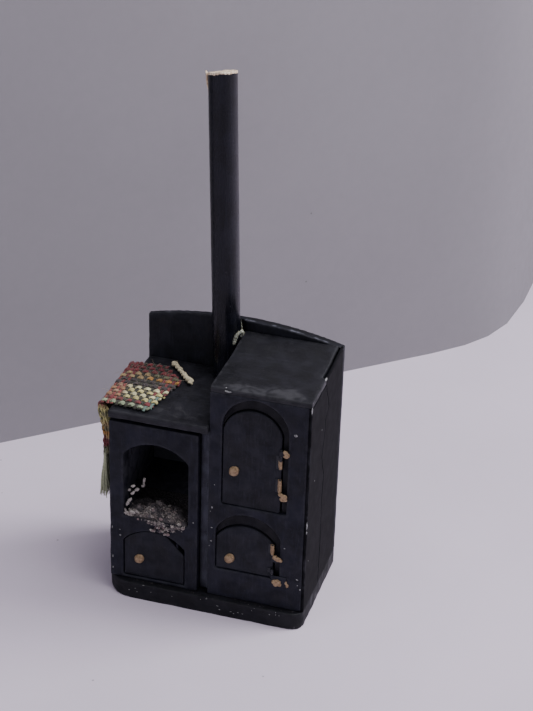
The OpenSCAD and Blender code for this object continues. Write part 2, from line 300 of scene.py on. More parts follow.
def gloss_material():
    """Gloss paint on the whittled flue, with the bare wood of its cut end."""
    s = Shader("gloss_flue_paint", Specular_IOR_Level=0.22)
    ridge = s.noise(0.9, 3, stretch=(1, 1, 22))
    fine = s.noise(0.25, 3, stretch=(1, 1, 12))
    blotch = s.noise(6, 4)
    paint = s.mix(s.ramp(blotch, 0.35, 0.65), (0.0028, 0.0031, 0.0055), (0.0062, 0.0067, 0.0115))
    paint = s.mix(s.ramp(ridge, 0.52, 0.75, 0, 0.3), paint, (0.018, 0.019, 0.028))
    paint = s.mix(s.specks(1.6, 0.08, 0.03), paint, (0.16, 0.16, 0.19))
    rings = s.noise(0.35, 4, stretch=(1, 1, 5))
    wood = s.mix(s.ramp(rings, 0.35, 0.7), (0.5, 0.36, 0.24), (0.88, 0.78, 0.62))
    wood = s.mix(s.ramp(s.noise(0.8, 4), 0.55, 0.72, 0, 0.45), wood, (0.3, 0.19, 0.13))
    ragged = s.math("ADD", s.attribute("raw"), s.uneven(-0.25, 0.25, 0.5, 3))
    bare = s.ramp(ragged, 0.44, 0.56)
    colour = s.mix(bare, paint, wood)
    rough = s.plus(s.ramp(fine, 0.3, 0.7, 0.2, 0.34), bare, 0.5)
    height = s.plus(s.math("MULTIPLY", ridge, 0.8), fine, 0.25)
    return s.finish(colour, rough, height, 0.07, 0.45)


def gold_material():
    """Dull gold paint, brushed on by hand, with black where it missed."""
    s = Shader("dull_gold", Metallic=0.2, Specular_IOR_Level=0.4)
    dab = s.noise(0.7, 5, warp=0.5)
    colour = s.mix(s.ramp(dab, 0.3, 0.7), (0.19, 0.12, 0.058), (0.35, 0.245, 0.145))
    colour = s.mix(s.ramp(s.noise(0.3, 3), 0.62, 0.8, 0, 0.6), colour, (0.5, 0.39, 0.26))
    missed = s.math("ADD", s.attribute("cover"), s.uneven(-0.2, 0.2, 0.8, 4))
    colour = s.mix(s.ramp(missed, 0.45, 0.6), colour, (0.012, 0.013, 0.018))
    return s.finish(colour, s.ramp(dab, 0.3, 0.7, 0.36, 0.6), dab, 0.12, 0.5)


def steel_material():
    s = Shader("pin_steel", Metallic=1.0)
    drawn = s.noise(0.12, 3, stretch=(1, 1, 20))
    colour = s.mix(s.ramp(drawn, 0.35, 0.7), (0.3, 0.3, 0.31), (0.5, 0.5, 0.52))
    colour = s.mix(s.ramp(s.noise(0.6, 4), 0.6, 0.75, 0, 0.7), colour, (0.12, 0.07, 0.045))
    return s.finish(colour, s.ramp(drawn, 0.3, 0.7, 0.28, 0.5), drawn, 0.02, 0.4)


def ash_material():
    s = Shader("ash", Roughness=0.95, Specular_IOR_Level=0.2)
    fine = s.noise(0.3, 5)
    colour = s.mix(s.ramp(fine, 0.35, 0.7, 0.0, 0.75), s.tint(), (0.13, 0.115, 0.12))
    return s.finish(colour, None, fine, 0.12, 0.8)


def glue_material():
    s = Shader("dried_glue", Subsurface_Weight=0.35, Coat_Weight=0.4)
    s.surface.inputs["Subsurface Radius"].default_value = (0.0012, 0.0009, 0.0005)
    cloud = s.noise(0.8, 4)
    colour = s.mix(s.ramp(cloud, 0.35, 0.7), (0.15, 0.155, 0.12), (0.31, 0.315, 0.255))
    colour = s.mix(s.ramp(s.noise(0.5, 3), 0.62, 0.75, 0, 0.6), colour, (0.1, 0.1, 0.09))
    return s.finish(colour, s.ramp(cloud, 0.3, 0.7, 0.28, 0.5), cloud, 0.08, 0.4)


def chip_material():
    s = Shader("pale_paint_chips")
    mottle = s.noise(0.4, 4)
    colour = s.mix(s.ramp(mottle, 0.3, 0.7), (0.10, 0.10, 0.105), (0.32, 0.32, 0.32))
    return s.finish(colour, s.ramp(mottle, 0.3, 0.7, 0.6, 0.85), mottle, 0.05, 0.5)


def yarn_material(name, sheen):
    s = Shader(name, Roughness=0.9, Sheen_Weight=sheen, Sheen_Roughness=0.5)
    fibre = s.noise(0.14, 4)
    broad = s.noise(0.9, 3)
    colour = s.mix(s.ramp(fibre, 0.58, 0.9, 0.0, 0.1), s.tint(), (0.8, 0.76, 0.62))
    colour = s.mix(s.ramp(fibre, 0.45, 0.2, 0.0, 0.75), colour, (0.03, 0.025, 0.02))
    colour = s.mix(s.ramp(broad, 0.55, 0.8, 0.0, 0.3), colour, (0.2, 0.16, 0.11))
    return s.finish(colour, None, s.math("ADD", fibre, broad), 0.1, 0.7)


SOOT_AND_LIGHT = soot_and_light_material()
GLOSS = gloss_material()
GOLD = gold_material()
STEEL = steel_material()
# A paint far lighter than the body's, on the hob rail, the firebox cheek and the ash packing:
# painted light in their shade.
RAIL_LIT = painted("rail_painted_light", (0.055, 0.057, 0.078), speck_share=0)
# A near-black paint on the oven packing: painted shade in the recess round the doors.
STOP_SHADE = painted("packing_painted_shade", (0.0028, 0.003, 0.006), speck_share=0, wear=0.1)
ASH = ash_material()
GLUE = glue_material()
CHIP = chip_material()
YARN = yarn_material("wool_yarns", 0.12)
# The dark sheet under the yarns: painted shade between them.
CLOTH_SHADE = yarn_material("cloth_painted_shade", 0.05)


# ---- Boards and doors, softened and worn ----

def cad_edges(mesh, spacing):
    """Points along a CAD mesh's sharp outward edges, in metres."""
    shape = bmesh.new()
    shape.from_mesh(mesh)
    bmesh.ops.remove_doubles(shape, verts=shape.verts, dist=1e-6)
    bmesh.ops.recalc_face_normals(shape, faces=shape.faces)
    points = []
    for edge in shape.edges:
        if len(edge.link_faces) != 2 or edge.calc_face_angle_signed(0) < math.radians(35):
            continue
        a, b = edge.verts[0].co, edge.verts[1].co
        steps = max(1, math.ceil((b - a).length / spacing))
        points.extend(a.lerp(b, i / steps) for i in range(steps + 1))
    shape.free()
    return points


def remeshed(obj, voxel, rounds):
    """A new mesh: the object's form in millimetres, as one skin of even cells, softened."""
    remesh = obj.modifiers.new("remesh", "REMESH")
    remesh.mode = "VOXEL"
    remesh.voxel_size = voxel
    soften = obj.modifiers.new("soften", "SMOOTH")
    soften.factor = 0.5
    soften.iterations = rounds
    evaluated = obj.evaluated_get(bpy.context.evaluated_depsgraph_get())
    return bpy.data.meshes.new_from_object(evaluated)


def weathered(node, body, slot, material, voxel=0.4, rounds=4, wobble=0.05, wobble_cell=6.0,
              reach=0.9, shape=None, marks=None):
    """A CAD node's own form with handled edges: softened corners, uneven faces, rubbed edges.

    shape moves the points, and marks gives the attributes patch, gap or cover for them.
    """
    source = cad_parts[node]
    work = bpy.data.objects.new("work", source.data.copy())
    bpy.context.scene.collection.objects.link(work)
    welded = bmesh.new()
    welded.from_mesh(work.data)
    bmesh.ops.remove_doubles(welded, verts=welded.verts, dist=1e-6)
    welded.to_mesh(work.data)
    welded.free()
    work.data.transform(Matrix.Scale(1 / MM, 4))
    mesh = remeshed(work, voxel, rounds)
    bpy.data.objects.remove(work)
    count = len(mesh.vertices)
    points, normals = np.zeros((count, 3)), np.zeros((count, 3))
    mesh.vertices.foreach_get("co", points.ravel())
    mesh.vertices.foreach_get("normal", normals.ravel())
    faces = [list(p.vertices) for p in mesh.polygons]
    bpy.data.meshes.remove(mesh)
    rim = cad_edges(source.data, 0.4 * MM)
    tree = kdtree.KDTree(max(1, len(rim)))
    for i, p in enumerate(rim):
        tree.insert(p / MM, i)
    tree.balance()
    gaps = np.array([tree.find(Vector(p))[2] for p in points]) if rim else np.full(count, 9.0)
    wear = bell(gaps, 0, reach)
    local = points - CORNER
    seed = sum(ord(c) for c in node)
    push = wobble * (lumps(local, wobble_cell, seed) - 0.5)
    push += 0.35 * wobble * lumps(local, 1.1, seed + 5)
    push -= 0.9 * wobble * wear * (0.6 + 0.9 * lumps(local, 1.7, seed + 9))
    local = local + normals * push[:, None]
    if shape:
        local = shape(local)
    extra = {"patch": np.zeros(count), "gap": np.zeros(count), "cover": np.zeros(count)}
    if marks:
        extra.update(marks(local, normals))
    obj = mesh_object(node + "_worn", local, faces, material, wear=wear, **extra)
    return dress(obj, body, slot, node)


def blots(points, *spots):
    """How strongly each point is marked by soft oval spots: (centre, radii, strength)."""
    total = np.zeros(len(points))
    for centre, radii, strength in spots:
        far = ((points - np.array(centre)) / np.array(radii)) ** 2
        total = np.maximum(total, strength * np.exp(-far.sum(axis=1)))
    return total


def oven_top_marks(p, n):
    """A rubbed band in lobes along the front edge, a pale patch, a pale rear strip, and a painted
    highlight along the right edge.
    """
    z = OVEN_TOP
    patch = blots(
        p,
        ((38, 2.0, z), (7.0, 3.2, 1.6), 0.85),
        ((51.5, 2.4, z), (6.5, 3.8, 1.6), 1.0),
        ((44.8, 1.4, z), (5.0, 2.4, 1.6), 0.8),
        ((47, 15, z), (9, 7, 1.6), 0.14),
        ((33, 32.2, z), (9, 0.9, 1.6), 0.4),
        # Painted highlight along the right edge.
        ((58.6, 10, z), (1.0, 9, 1.6), 0.4),
    )
    return {"patch": patch}


def hob_marks(p, n):
    # Pale patches on the hob's top and along its front edge: painted light, like the hob's lighter
    # paint.
    return {"patch": blots(
        p,
        ((20, 3.5, HOB_TOP), (8, 6, 1), 0.55),
        ((6, -0.6, HOB_TOP), (7, 0.9, 0.8), 0.35),
    )}


def rear_rise(p):
    """The oven's top board is warped up at its back edge."""
    p = p.copy()
    p[:, 2] += 1.15 * smooth(p[:, 1], 19, 33) * smooth(p[:, 2], 72.5, 74)
    return p


def laid_edge(p):
    """The back board's arched top is built up thicker towards the front, at the oven's end."""
    p = p.copy()
    crown = HOB_TOP + 12
    thick = smooth(p[:, 2], crown, crown + 2.2) * smooth(p[:, 0], 29, 31)
    front = smooth(-p[:, 1], -35.2, -34.4)
    p[:, 1] -= 1.0 * thick * front
    return p


def back_marks(p, n):
    """Pale lines along the board's curved top with dark lines of painted shadow between them, and
    painted light on its firebox face.
    """
    depth = p[:, 1] - node_box("back_board")[0][1]
    up = smooth(n[:, 2], 0.3, 0.7)
    line = bell(depth, -0.4, 0.4) + 0.9 * bell(depth, 0.6, 0.3) + 0.5 * bell(depth, 1.75, 0.25)
    # Painted shadow: dark lines in the board's top.
    dark = bell(depth, 0.1, 0.22) + bell(depth, 1.2, 0.3)
    # Painted light: lifts the board's face inside the firebox.
    inside = smooth(-n[:, 1], 0.5, 0.9) * smooth(-p[:, 2], -60, -58) * smooth(-p[:, 0], -30, -29)
    return {"patch": 0.5 * up * line + 0.95 * inside, "gap": 0.75 * up * dark}


SEAM_HEIGHTS = (5.6, 20, 36, 43.5, 47, 51, 55, 58, 62.5, 65, 68, 71, 74, 76)
SEAM_OFFSETS = (0.4, 0.9, 0.2, 1.3, -0.6, -1.9, -0.9, 0.1, 0.4, 3.6, 2.6, 0.6, -0.4, -0.2)


def seam_shift(z):
    """How far back the torn seam between the two side skins wanders at height z."""
    return np.interp(z, SEAM_HEIGHTS, SEAM_OFFSETS)


def bend_seam(p):
    """Each skin's edge follows the torn seam."""
    p = p.copy()
    p[:, 1] += seam_shift(p[:, 2]) * bell(p[:, 1], SKIN_SEAM, 5.0)
    return p


def skin_marks(p, n):
    """A painted highlight on the ridge beside the seam, a faint pale band behind it, painted shade
    in the seam's slit, and a pale line down the front edge painted as a highlight.
    """
    off = p[:, 1] - SKIN_SEAM - seam_shift(p[:, 2])
    outward = smooth(n[:, 0], 0.2, 0.6)
    broken = 0.55 + 0.45 * lumps(p, 5.0, 3)
    # Painted highlight: the pale ridge beside the seam.
    ridge = 0.7 * bell(off, -0.6, 0.4) * broken
    second = 0.12 * bell(off, 4.5, 1.4) * (0.5 + 0.5 * lumps(p, 9.0, 8))
    # Painted highlight: the pale line down the front edge.
    front = 0.8 * bell(p[:, 1], 0.25, 0.4) * (0.7 + 0.3 * lumps(p, 6.0, 4))
    # Painted shade: near black in the seam's slit.
    slit_shade = bell(off, 0, 0.22) * smooth(p[:, 2], 30, 60)
    return {"patch": outward * (ridge + second) + front, "gap": 0.8 * outward * slit_shade}


def base_marks(p, n):
    """The base's front edge is rough and flecked."""
    front = smooth(-n[:, 1], 0.1, 0.6) + smooth(n[:, 2], 0.6, 0.9) * smooth(-p[:, 1], -0.6, 0.4)
    fleck = smooth(lumps(p, 0.8, 21, 3), 0.25, 0.6) * smooth(lumps(p, 4.0, 22), -0.3, 0.5)
    return {"patch": 0.9 * fleck * np.clip(front, 0, 1)}


def front_marks(p, n):
    """Flecks and rubs on the front, thickest low down."""
    fleck = smooth(lumps(p, 0.7, 31, 3), 0.45, 0.7) * smooth(lumps(p, 6.0, 32), -0.1, 0.5)
    low = smooth(-p[:, 2], -34, -8)
    return {"patch": 0.8 * fleck * (0.15 + 0.85 * low) * smooth(-n[:, 1], 0.3, 0.7)}


def inside_marks(p, n):
    """Painted light on the face towards the fire."""
    return {"patch": 0.8 * smooth(n[:, 0], 0.5, 0.9)}


def tall_front(p):
    """The oven front's top edge stands up into the top board, so no crack shows between them."""
    p = p.copy()
    p[:, 2] += 0.35 * smooth(p[:, 2], 73, 73.9)
    return p


def firebox_marks(p, n):
    """The front's flecks, and a pale patch on the fire mouth's left jamb."""
    jamb = smooth(n[:, 0], 0.5, 0.9) * smooth(-p[:, 0], -6, -5) * smooth(p[:, 2], 28, 29)
    return {"patch": np.maximum(front_marks(p, n)["patch"], 0.62 * jamb)}


DOOR_LEAN = 0.6  # how far an oven door's left and bottom edges stand forward


def snug(low_grow, high_grow, lean=0.0):
    """Grows a door's outline a little, and leans its left and bottom edges forward."""
    def shape(p):
        low, high = p.min(0), p.max(0)
        share = (p - low) / (high - low)
        p = p + share * np.array(high_grow) - (1 - share) * np.array(low_grow)
        p[:, 1] -= lean * np.maximum(1 - share[:, 0], 0.8 * np.exp(-(p[:, 2] - low[2]) / 1.2))
        return p
    return shape


weathered("base_board", "root", "body_paint", BASE, voxel=0.42, wobble=0.1, wobble_cell=4.0,
          reach=1.1, marks=base_marks)
weathered("back_board", "root", "body_paint", BACK, voxel=0.36, shape=laid_edge,
          marks=back_marks)
weathered("left_side_panel", "root", "body_paint", BACK, marks=inside_marks)
weathered("firebox_front_panel", "root", "body_paint", BODY, voxel=0.3, rounds=2, wobble=0.07,
          marks=firebox_marks)
weathered("firebox_cheek", "root", "body_paint", RAIL_LIT)
weathered("hob_rail", "root", "body_paint", RAIL_LIT, voxel=0.3)
weathered("hob_board", "root", "top_paint", HOB, voxel=0.34, wobble=0.07, marks=hob_marks)
weathered("oven_front_panel", "root", "body_paint", BODY, voxel=0.3, rounds=2, wobble=0.06,
          shape=tall_front, marks=front_marks)
weathered("oven_top_board", "root", "top_paint", TOP, voxel=0.36, wobble=0.08, reach=1.2,
          shape=rear_rise, marks=oven_top_marks)
weathered("right_side_panel", "root", "body_paint", BODY)
weathered("front_side_skin", "root", "side_skin", SIDE, voxel=0.24, rounds=3, wobble=0.025,
          reach=0.6, shape=bend_seam, marks=skin_marks)
weathered("rear_side_skin", "root", "side_skin", SIDE, voxel=0.24, rounds=3, wobble=0.03,
          wobble_cell=9.0, reach=0.6, shape=lambda p: rear_rise(bend_seam(p)), marks=skin_marks)
for node, body, wobble, fit in (
        ("upper_oven_door", "upper_door", 0.04, snug((0.1, 0, 0.12), (0, 0, 0), DOOR_LEAN)),
        ("lower_oven_door", "lower_door", 0.04, snug((0.1, 0, 0.12), (0, 0, 0), DOOR_LEAN)),
        ("ash_door", "ash_door_leaf", 0.05, snug((0.14, 0, 0.12), (0.08, 0, 0.16)))):
    weathered(node, body, "door_paint", DOOR, voxel=0.22, rounds=2, wobble=wobble, reach=0.4,
              shape=fit, marks=front_marks)

for coat, kept_nodes in ((SOOT_AND_LIGHT, ("fire_deck", "divider_panel", "oven_shelf", "oven_floor")),
                         (STEEL, ("upper_hinge_pins", "lower_hinge_pins")),
                         (BODY, ("ash_pivot_pins",))):
    for node in kept_nodes:
        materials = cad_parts[node].data.materials
        materials.clear()
        materials.append(coat)


# ---- Packing round the doors ----

def arch_line(x, floor, width, crown, rise, steps=40):
    """A doorway's outline as points (x, z), from its lower left corner over the arch."""
    radius = (width * width / 4 + rise * rise) / (2 * rise)
    reach = math.asin(min(1, width / 2 / radius))
    turn = np.linspace(-reach, reach, steps)
    head = np.stack([x + radius * np.sin(turn), crown - radius + radius * np.cos(turn)], 1)
    return np.vstack([[x - width / 2, floor], head, [x + width / 2, floor]])


def stop_frame(name, front, back, outer, inner, material):
    """A flat frame between two outlines."""
    points = np.vstack([xyz(line[:, 0], y, line[:, 1]) for line, y in (
        (outer, front), (inner, front), (inner, back), (outer, back))])
    faces = [[i % len(points) for i in quad] for quad in net(5, len(outer), closed=True)]
    return dress(mesh_object(name, points, faces, material, flat=True), "root", "body_paint")


# Doorways as middle, floor, width, crown height and rise of the arch. Each oven has its mouth in
# the front panel, and the smaller opening that its packing leaves.
OVEN_DOORWAYS = {
    "upper": ((43.9, 37.9, 19.6, 73.5, 9.79), (43.05, 37.9, 17.8, 70.15, 7.2)),
    "lower": ((42.45, 15.3, 19.6, 35.4, 6.35), (41.6, 15.3, 17.8, 31.45, 4.75)),
}
ASH_DOORWAY = (13.75, 6.6, 19.2, 23.6, 4.55)
PACKING_FRONT = 1.35


def make_stops():
    """Packing round the oven doors, set back from the front and painted near black as painted shade
    in the recess, and two pieces over the ash door in a pale paint, as painted light.
    """
    back = node_box("oven_front_panel")[1][1] - 0.1
    for oven, (mouth, opening) in OVEN_DOORWAYS.items():
        stop_frame(oven + "_oven_packing", PACKING_FRONT, back, arch_line(*mouth),
                   arch_line(*opening), STOP_SHADE)
    ash_back = node_box("ash_door")[1][1]
    thick = 0.4
    for name, gap, low, high in (("upper", 0.12, 19.6, 24), ("lower", 1.3, 15.5, 20.4)):
        arch = arch_line(*ASH_DOORWAY)
        arch = arch[(arch[:, 0] > 13.5) & (arch[:, 1] > low) & (arch[:, 1] < high)]
        under = np.stack([arch[:, 0] - 2.2, np.maximum(low, arch[:, 1] - 2.6)], 1)
        stop_frame("ash_packing_" + name, ash_back + gap, ash_back + gap + thick, arch, under, RAIL_LIT)


make_stops()


# ---- Small closed shapes ----

class Soup:
    """Many small closed shapes gathered into one mesh."""

    def __init__(self):
        self.points = []
        self.faces = []
        self.tints = []
        self.count = 0

    def add(self, points, faces, tint):
        self.points.append(np.asarray(points, float))
        self.faces.extend([i + self.count for i in face] for face in faces)
        tint = np.asarray(tint, float)
        if tint.ndim == 1:
            tint = np.tile(tint, (len(points), 1))
        self.tints.append(tint)
        self.count += len(points)

    def build(self, name, material, flat=False):
        return mesh_object(name, np.vstack(self.points), self.faces, material, flat,
                           tint=np.vstack(self.tints))


def ball(detail):
    """The points and faces of a round solid of radius 1."""
    shape = bmesh.new()
    bmesh.ops.create_icosphere(shape, subdivisions=detail, radius=1)
    points = np.array([v.co for v in shape.verts])
    faces = [[v.index for v in f.verts] for f in shape.faces]
    shape.free()
    return points, faces


GRAIN = ball(1)
LUMP = ball(3)


def turned(rng):
    """A random rotation, as a matrix."""
    q, _ = np.linalg.qr(rng.normal(size=(3, 3)))
    return q


def tilted(degrees):
    """A turn about the depth axis, as a matrix."""
    angle = math.radians(degrees)
    return np.array(((math.cos(angle), 0, math.sin(angle)), (0, 1, 0),
                     (-math.sin(angle), 0, math.cos(angle))))


def add_lump(soup, centre, radii, tint, rng, rough=0.25, cell=0.9, kind=LUMP, turn=None):
    unit, faces = kind
    swell = 1 + rough * lumps(unit * (1.0 / cell) + rng.uniform(0, 90, 3), 1.0, 3)
    points = unit * swell[:, None] * np.array(radii)
    if turn is not None:
        points = points @ turn.T
    soup.add(points + np.array(centre), faces, tint)


def fused(name, soup, material, voxel, rounds):
    """The soup's lumps run together into one skin, as thick paint or glue does."""
    obj = soup.build(name, material)
    obj.data.transform(Matrix.Scale(1 / MM, 4))
    mesh = remeshed(obj, voxel, rounds)
    obj.modifiers.clear()
    mesh.transform(Matrix.Scale(MM, 4))
    old = obj.data
    obj.data = mesh
    bpy.data.meshes.remove(old)
    mesh.name = name
    if not mesh.materials:
        mesh.materials.append(material)
    mesh.polygons.foreach_set("use_smooth", [True] * len(mesh.polygons))
    return obj


rng = np.random.default_rng(7)


# ---- Gold knobs and hinges ----

def missed_gold(axis_x, *bands):
    """Marks a part as black, except on its barrel within some bands of height."""
    def marks(p, n):
        shown = np.zeros(len(p))
        for low, high in bands:
            shown = np.maximum(shown, smooth(p[:, 2], low - 0.2, low + 0.2)
                               * smooth(-p[:, 2], -high - 0.2, -high + 0.2))
        return {"cover": 1 - shown * smooth(p[:, 0], axis_x - 0.85, axis_x - 0.65)}
    return marks


def make_hinges():
    """Barrels and leaves in black, with the dabs of gold that the brush left on them."""
    for door, bands in (("upper", ((53.1, 55.6), (45.0, 49.3))), ("lower", ((22.9, 26.9),))):
        low, high = node_box(door + "_hinge_pins")
        axis_x = (low[0] + high[0]) / 2
        weathered(door + "_door_barrels", door + "_door", "brass_trim", GOLD, voxel=0.11,
                  rounds=5, wobble=0.05, wobble_cell=0.9, marks=missed_gold(axis_x, *bands))
        weathered(door + "_frame_leaves", "root", "body_paint", BODY, voxel=0.12, rounds=3,
                  wobble=0.04, wobble_cell=1.0)
    dabs = {
        "upper_leaf_gold": (
            ((52.8, -0.2, 58.9), (0.75, 0.42, 0.7)), ((53.4, -0.2, 58.2), (0.75, 0.42, 0.8)),
            ((53.1, -0.2, 57.7), (0.8, 0.4, 0.55)),
            ((51.9, -0.3, 44.9), (0.8, 0.5, 0.6)), ((52.9, -0.25, 44.4), (1.0, 0.45, 0.75)),
            ((52.5, -0.25, 43.5), (0.95, 0.45, 0.75)), ((53.3, -0.2, 43.4), (0.6, 0.35, 0.6))),
        "lower_leaf_gold": (
            ((51.0, -0.3, 23.2), (0.75, 0.5, 0.9)), ((51.9, -0.25, 22.7), (0.95, 0.45, 0.8)),
            ((52.6, -0.2, 22.4), (0.6, 0.35, 0.6)),
            ((51.0, -0.25, 14.6), (0.95, 0.4, 0.95)), ((52.0, -0.25, 14.9), (1.0, 0.42, 0.85)),
            ((52.4, -0.2, 14.1), (0.75, 0.36, 0.8)), ((51.4, -0.2, 13.8), (0.7, 0.36, 0.7)),
            ((54.4, -0.1, 15.0), (0.4, 0.25, 0.75)), ((54.8, -0.1, 14.1), (0.45, 0.25, 0.8))),
    }
    for name, places in dabs.items():
        soup = Soup()
        for centre, radii in places:
            add_lump(soup, centre, radii, (1, 1, 1), rng, 0.22, 0.7)
        dress(fused(name, soup, GOLD, 0.1, 3), "root", "brass_trim")


make_hinges()
KNOB_NUDGE = {"upper_door_knob": (-0.4, -0.45, -0.35), "lower_door_knob": (0, -0.45, 0)}
for node, body in (("upper_door_knob", "upper_door"), ("lower_door_knob", "lower_door"),
                   ("ash_door_knob", "ash_door_leaf")):
    low, high = node_box(node)
    nudge = np.array(KNOB_NUDGE.get(node, (0, 0, 0)))
    middle = (low + high) / 2 + nudge
    radius = (high[0] - low[0]) / 2
    face = low[1] + 0.9 + nudge[1]
    head = Soup()
    add_lump(head, (middle[0], face, middle[2]), (radius * 0.9, 0.92, radius * 1.08),
             (1, 1, 1), rng, 0.13, 0.9, ball(4), tilted(35))
    unit, faces = ball(2)
    head.add(unit * (0.33, 1.1, 0.33) + (middle[0], face + 0.35, middle[2]), faces, (1, 1, 1))
    dress(head.build(node + "_cast", GOLD), body, "brass_trim", node)


LEFTWARD, FORWARD, UPWARD = (-1.0, 0.0, 0.0), (0.0, -1.0, 0.0), (0.0, 0.0, 1.0)


def tube(soup, path, facing, width, thick, tint, sides=12, twist=2.2, plies=2, relief=0.16):
    """A twisted yarn along a path: flattened across facing, closed at both ends."""
    path = np.asarray(path, float)
    count = len(path)
    forward = np.gradient(path, axis=0)
    forward /= np.linalg.norm(forward, axis=1, keepdims=True) + 1e-9
    across = np.cross(forward, facing)
    across /= np.linalg.norm(across, axis=1, keepdims=True) + 1e-9
    out = np.cross(across, forward)
    length = np.concatenate([[0], np.cumsum(np.linalg.norm(np.diff(path, axis=0), axis=1))])
    angle = np.linspace(0, 2 * np.pi, sides, endpoint=False)
    width = np.broadcast_to(width, count)
    thick = np.broadcast_to(thick, count)
    ply = np.cos(plies * (angle[None, :] - twist * length[:, None]))
    swell = 1 - relief + relief * ply
    ca, sa = np.cos(angle)[None, :], np.sin(angle)[None, :]
    rings = (path[:, None, :]
             + across[:, None, :] * (ca * swell * width[:, None])[..., None]
             + out[:, None, :] * (sa * swell * thick[:, None])[..., None])
    points = rings.reshape(-1, 3)
    points = points + 0.06 * xyz(*(lumps(points, 0.5, seed, 1) for seed in (71, 72, 73)))
    faces = net(count, sides, closed=True)
    start = len(points)
    points = np.vstack([points, path[0], path[-1]])
    for k in range(sides):
        n = (k + 1) % sides
        faces.append([n, k, start])
        faces.append([(count - 1) * sides + k, (count - 1) * sides + n, start + 1])
    tint = np.asarray(tint, float)
    if tint.ndim == 1:
        tint = np.tile(tint, (count, 1))
    # Painted shade: darker in the grooves between the plies and on the end caps.
    shade = (0.86 + 0.14 * ply)[..., None] * np.repeat(tint[:, None, :], sides, axis=1)
    tint = np.vstack([shade.reshape(-1, 3), tint[0] * 0.7, tint[-1] * 0.7])
    soup.add(points, faces, np.clip(tint, 0, 1))


# ---- Flue ----

def make_flue():
    """A whittled dowel: not quite round, gloss painted, snapped off slantwise at the top."""
    low, high = node_box("flue_dowel")
    radius = 4.18
    foot = np.array([high[0] - radius, high[1] - radius, low[2]])
    slope = (2 * radius - (high[0] - low[0])) / (high[2] - low[2])
    around = 72
    rings = 220
    angle = np.linspace(0, 2 * np.pi, around, endpoint=False)
    level = np.linspace(0, 1, rings)
    points = []
    raw = []
    for t in level:
        unit = xyz(np.cos(angle), np.sin(angle), t * 14)
        out = radius * (1 - 0.012 * (1 + lumps(unit * (1, 1, 0.5), 0.8, 41)))
        out = out - 0.05 * (1 + np.cos(5 * angle + 1.1 + 0.4 * t))
        x = np.cos(angle) * out
        y = np.sin(angle) * out
        cut = high[2] - foot[2] - 1.2 + 0.19 * x - 0.25 * y
        cut = cut + 0.35 * lumps(xyz(x, y, 0), 1.6, 43, 3)
        z = t * cut
        points.append(foot + xyz(x, y, z))
        to_top = cut - z
        sliver = bell(angle, np.pi * 1.06, 0.2) * smooth(-to_top, -8.0, -5.5)
        nick = smooth(-to_top, -0.9, -0.35)
        raw.append(np.clip(np.maximum(sliver * 1.2, nick), 0, 1))
    points = np.vstack(points)
    lean = (points[:, 2] - foot[2]) * slope
    points[:, 0] += lean
    raw = np.concatenate(raw)
    rim = points[-around:]
    middle = rim.mean(0)
    end_rings = 7
    for k in range(1, end_rings):
        share = k / end_rings
        ring = rim * (1 - share) + middle * share
        ring[:, 2] += 0.32 * lumps(ring * (1, 1, 0), 0.9, 47, 3) * min(1, 3 * share) - 0.1 * share
        points = np.vstack([points, ring])
        raw = np.concatenate([raw, np.ones(around)])
    faces = net(rings + end_rings - 1, around, closed=True)
    under = len(points) + 1
    hub, last = under - 1, len(points) - around
    points = np.vstack([points, middle, points[:around].mean(0)])
    raw = np.concatenate([raw, [1.0, 0.0]])
    for a in range(around):
        b = (a + 1) % around
        faces.append([last + a, last + b, hub])
        faces.append([b, a, under])
    flue = mesh_object("flue_whittled", points, faces, GLOSS, raw=raw)
    dress(flue, "root", "flue_paint", "flue_dowel")
    left = rim[:, 0].min()
    soup = Soup()
    for out, back, tall, wide in (
            (0.1, 0.0, 6.4, 0.5), (-0.25, -0.7, 4.6, 0.42), (0.3, 0.8, 3.6, 0.4)):
        t = np.linspace(0, 1, 24)
        top = middle[2] - 0.4
        path = xyz(left + 0.35 - out - (0.75 + 0.3 * out) * t ** 1.8,
                   middle[1] - 0.6 + back, top - tall * (1 - t))
        path[:, 0] += 0.08 * np.sin(9 * t + back)
        slim = wide * np.interp(t, (0, 0.35, 0.85, 1), (0.12, 0.8, 1.0, 0.45))
        tube(soup, path, LEFTWARD, slim * 1.2, slim * 0.55, (1, 1, 1), sides=9, twist=0.3,
             relief=0.2)
    splinters = soup.build("flue_splinters", GLOSS)
    layer = splinters.data.attributes.new("raw", "FLOAT", "POINT")
    layer.data.foreach_set("value", np.ones(len(splinters.data.vertices), np.float32))
    dress(splinters, "root", "flue_paint")


make_flue()


def make_glue():
    """A hooked run of glue at the flue's foot, with a thin seam drawn up beside it."""
    soup = Soup()
    run = ((28.9, 26.7, 75.7, 0.45), (29.0, 26.8, 76.3, 0.55), (29.15, 26.9, 77.0, 0.6),
           (29.35, 27.0, 77.7, 0.62), (29.65, 27.2, 78.4, 0.58), (30.1, 27.5, 79.0, 0.5),
           (30.6, 28.0, 79.2, 0.5), (31.0, 28.4, 78.8, 0.52), (30.9, 28.5, 78.2, 0.5),
           (30.5, 28.4, 77.7, 0.4))
    for x, y, z, r in run:
        add_lump(soup, (x, y, z), (r, r, r * 1.15), (1, 1, 1), rng, 0.35, 0.8)
    t = np.linspace(0, 1, 40)
    seam = xyz(30.75 - 0.75 * t, 28.7, 79.0 + 5.6 * t)
    seam[:, 0] += 0.08 * np.sin(31 * t)
    tube(soup, seam, FORWARD, 0.26 * (1.1 - t), 0.22 * (1.1 - t), (1, 1, 1), sides=8, twist=0.5,
         relief=0.1)
    return dress(fused("glue_runs", soup, GLUE, 0.12, 4), "root", "dried_glue", "glue_beads")


make_glue()


# ---- Ash ----

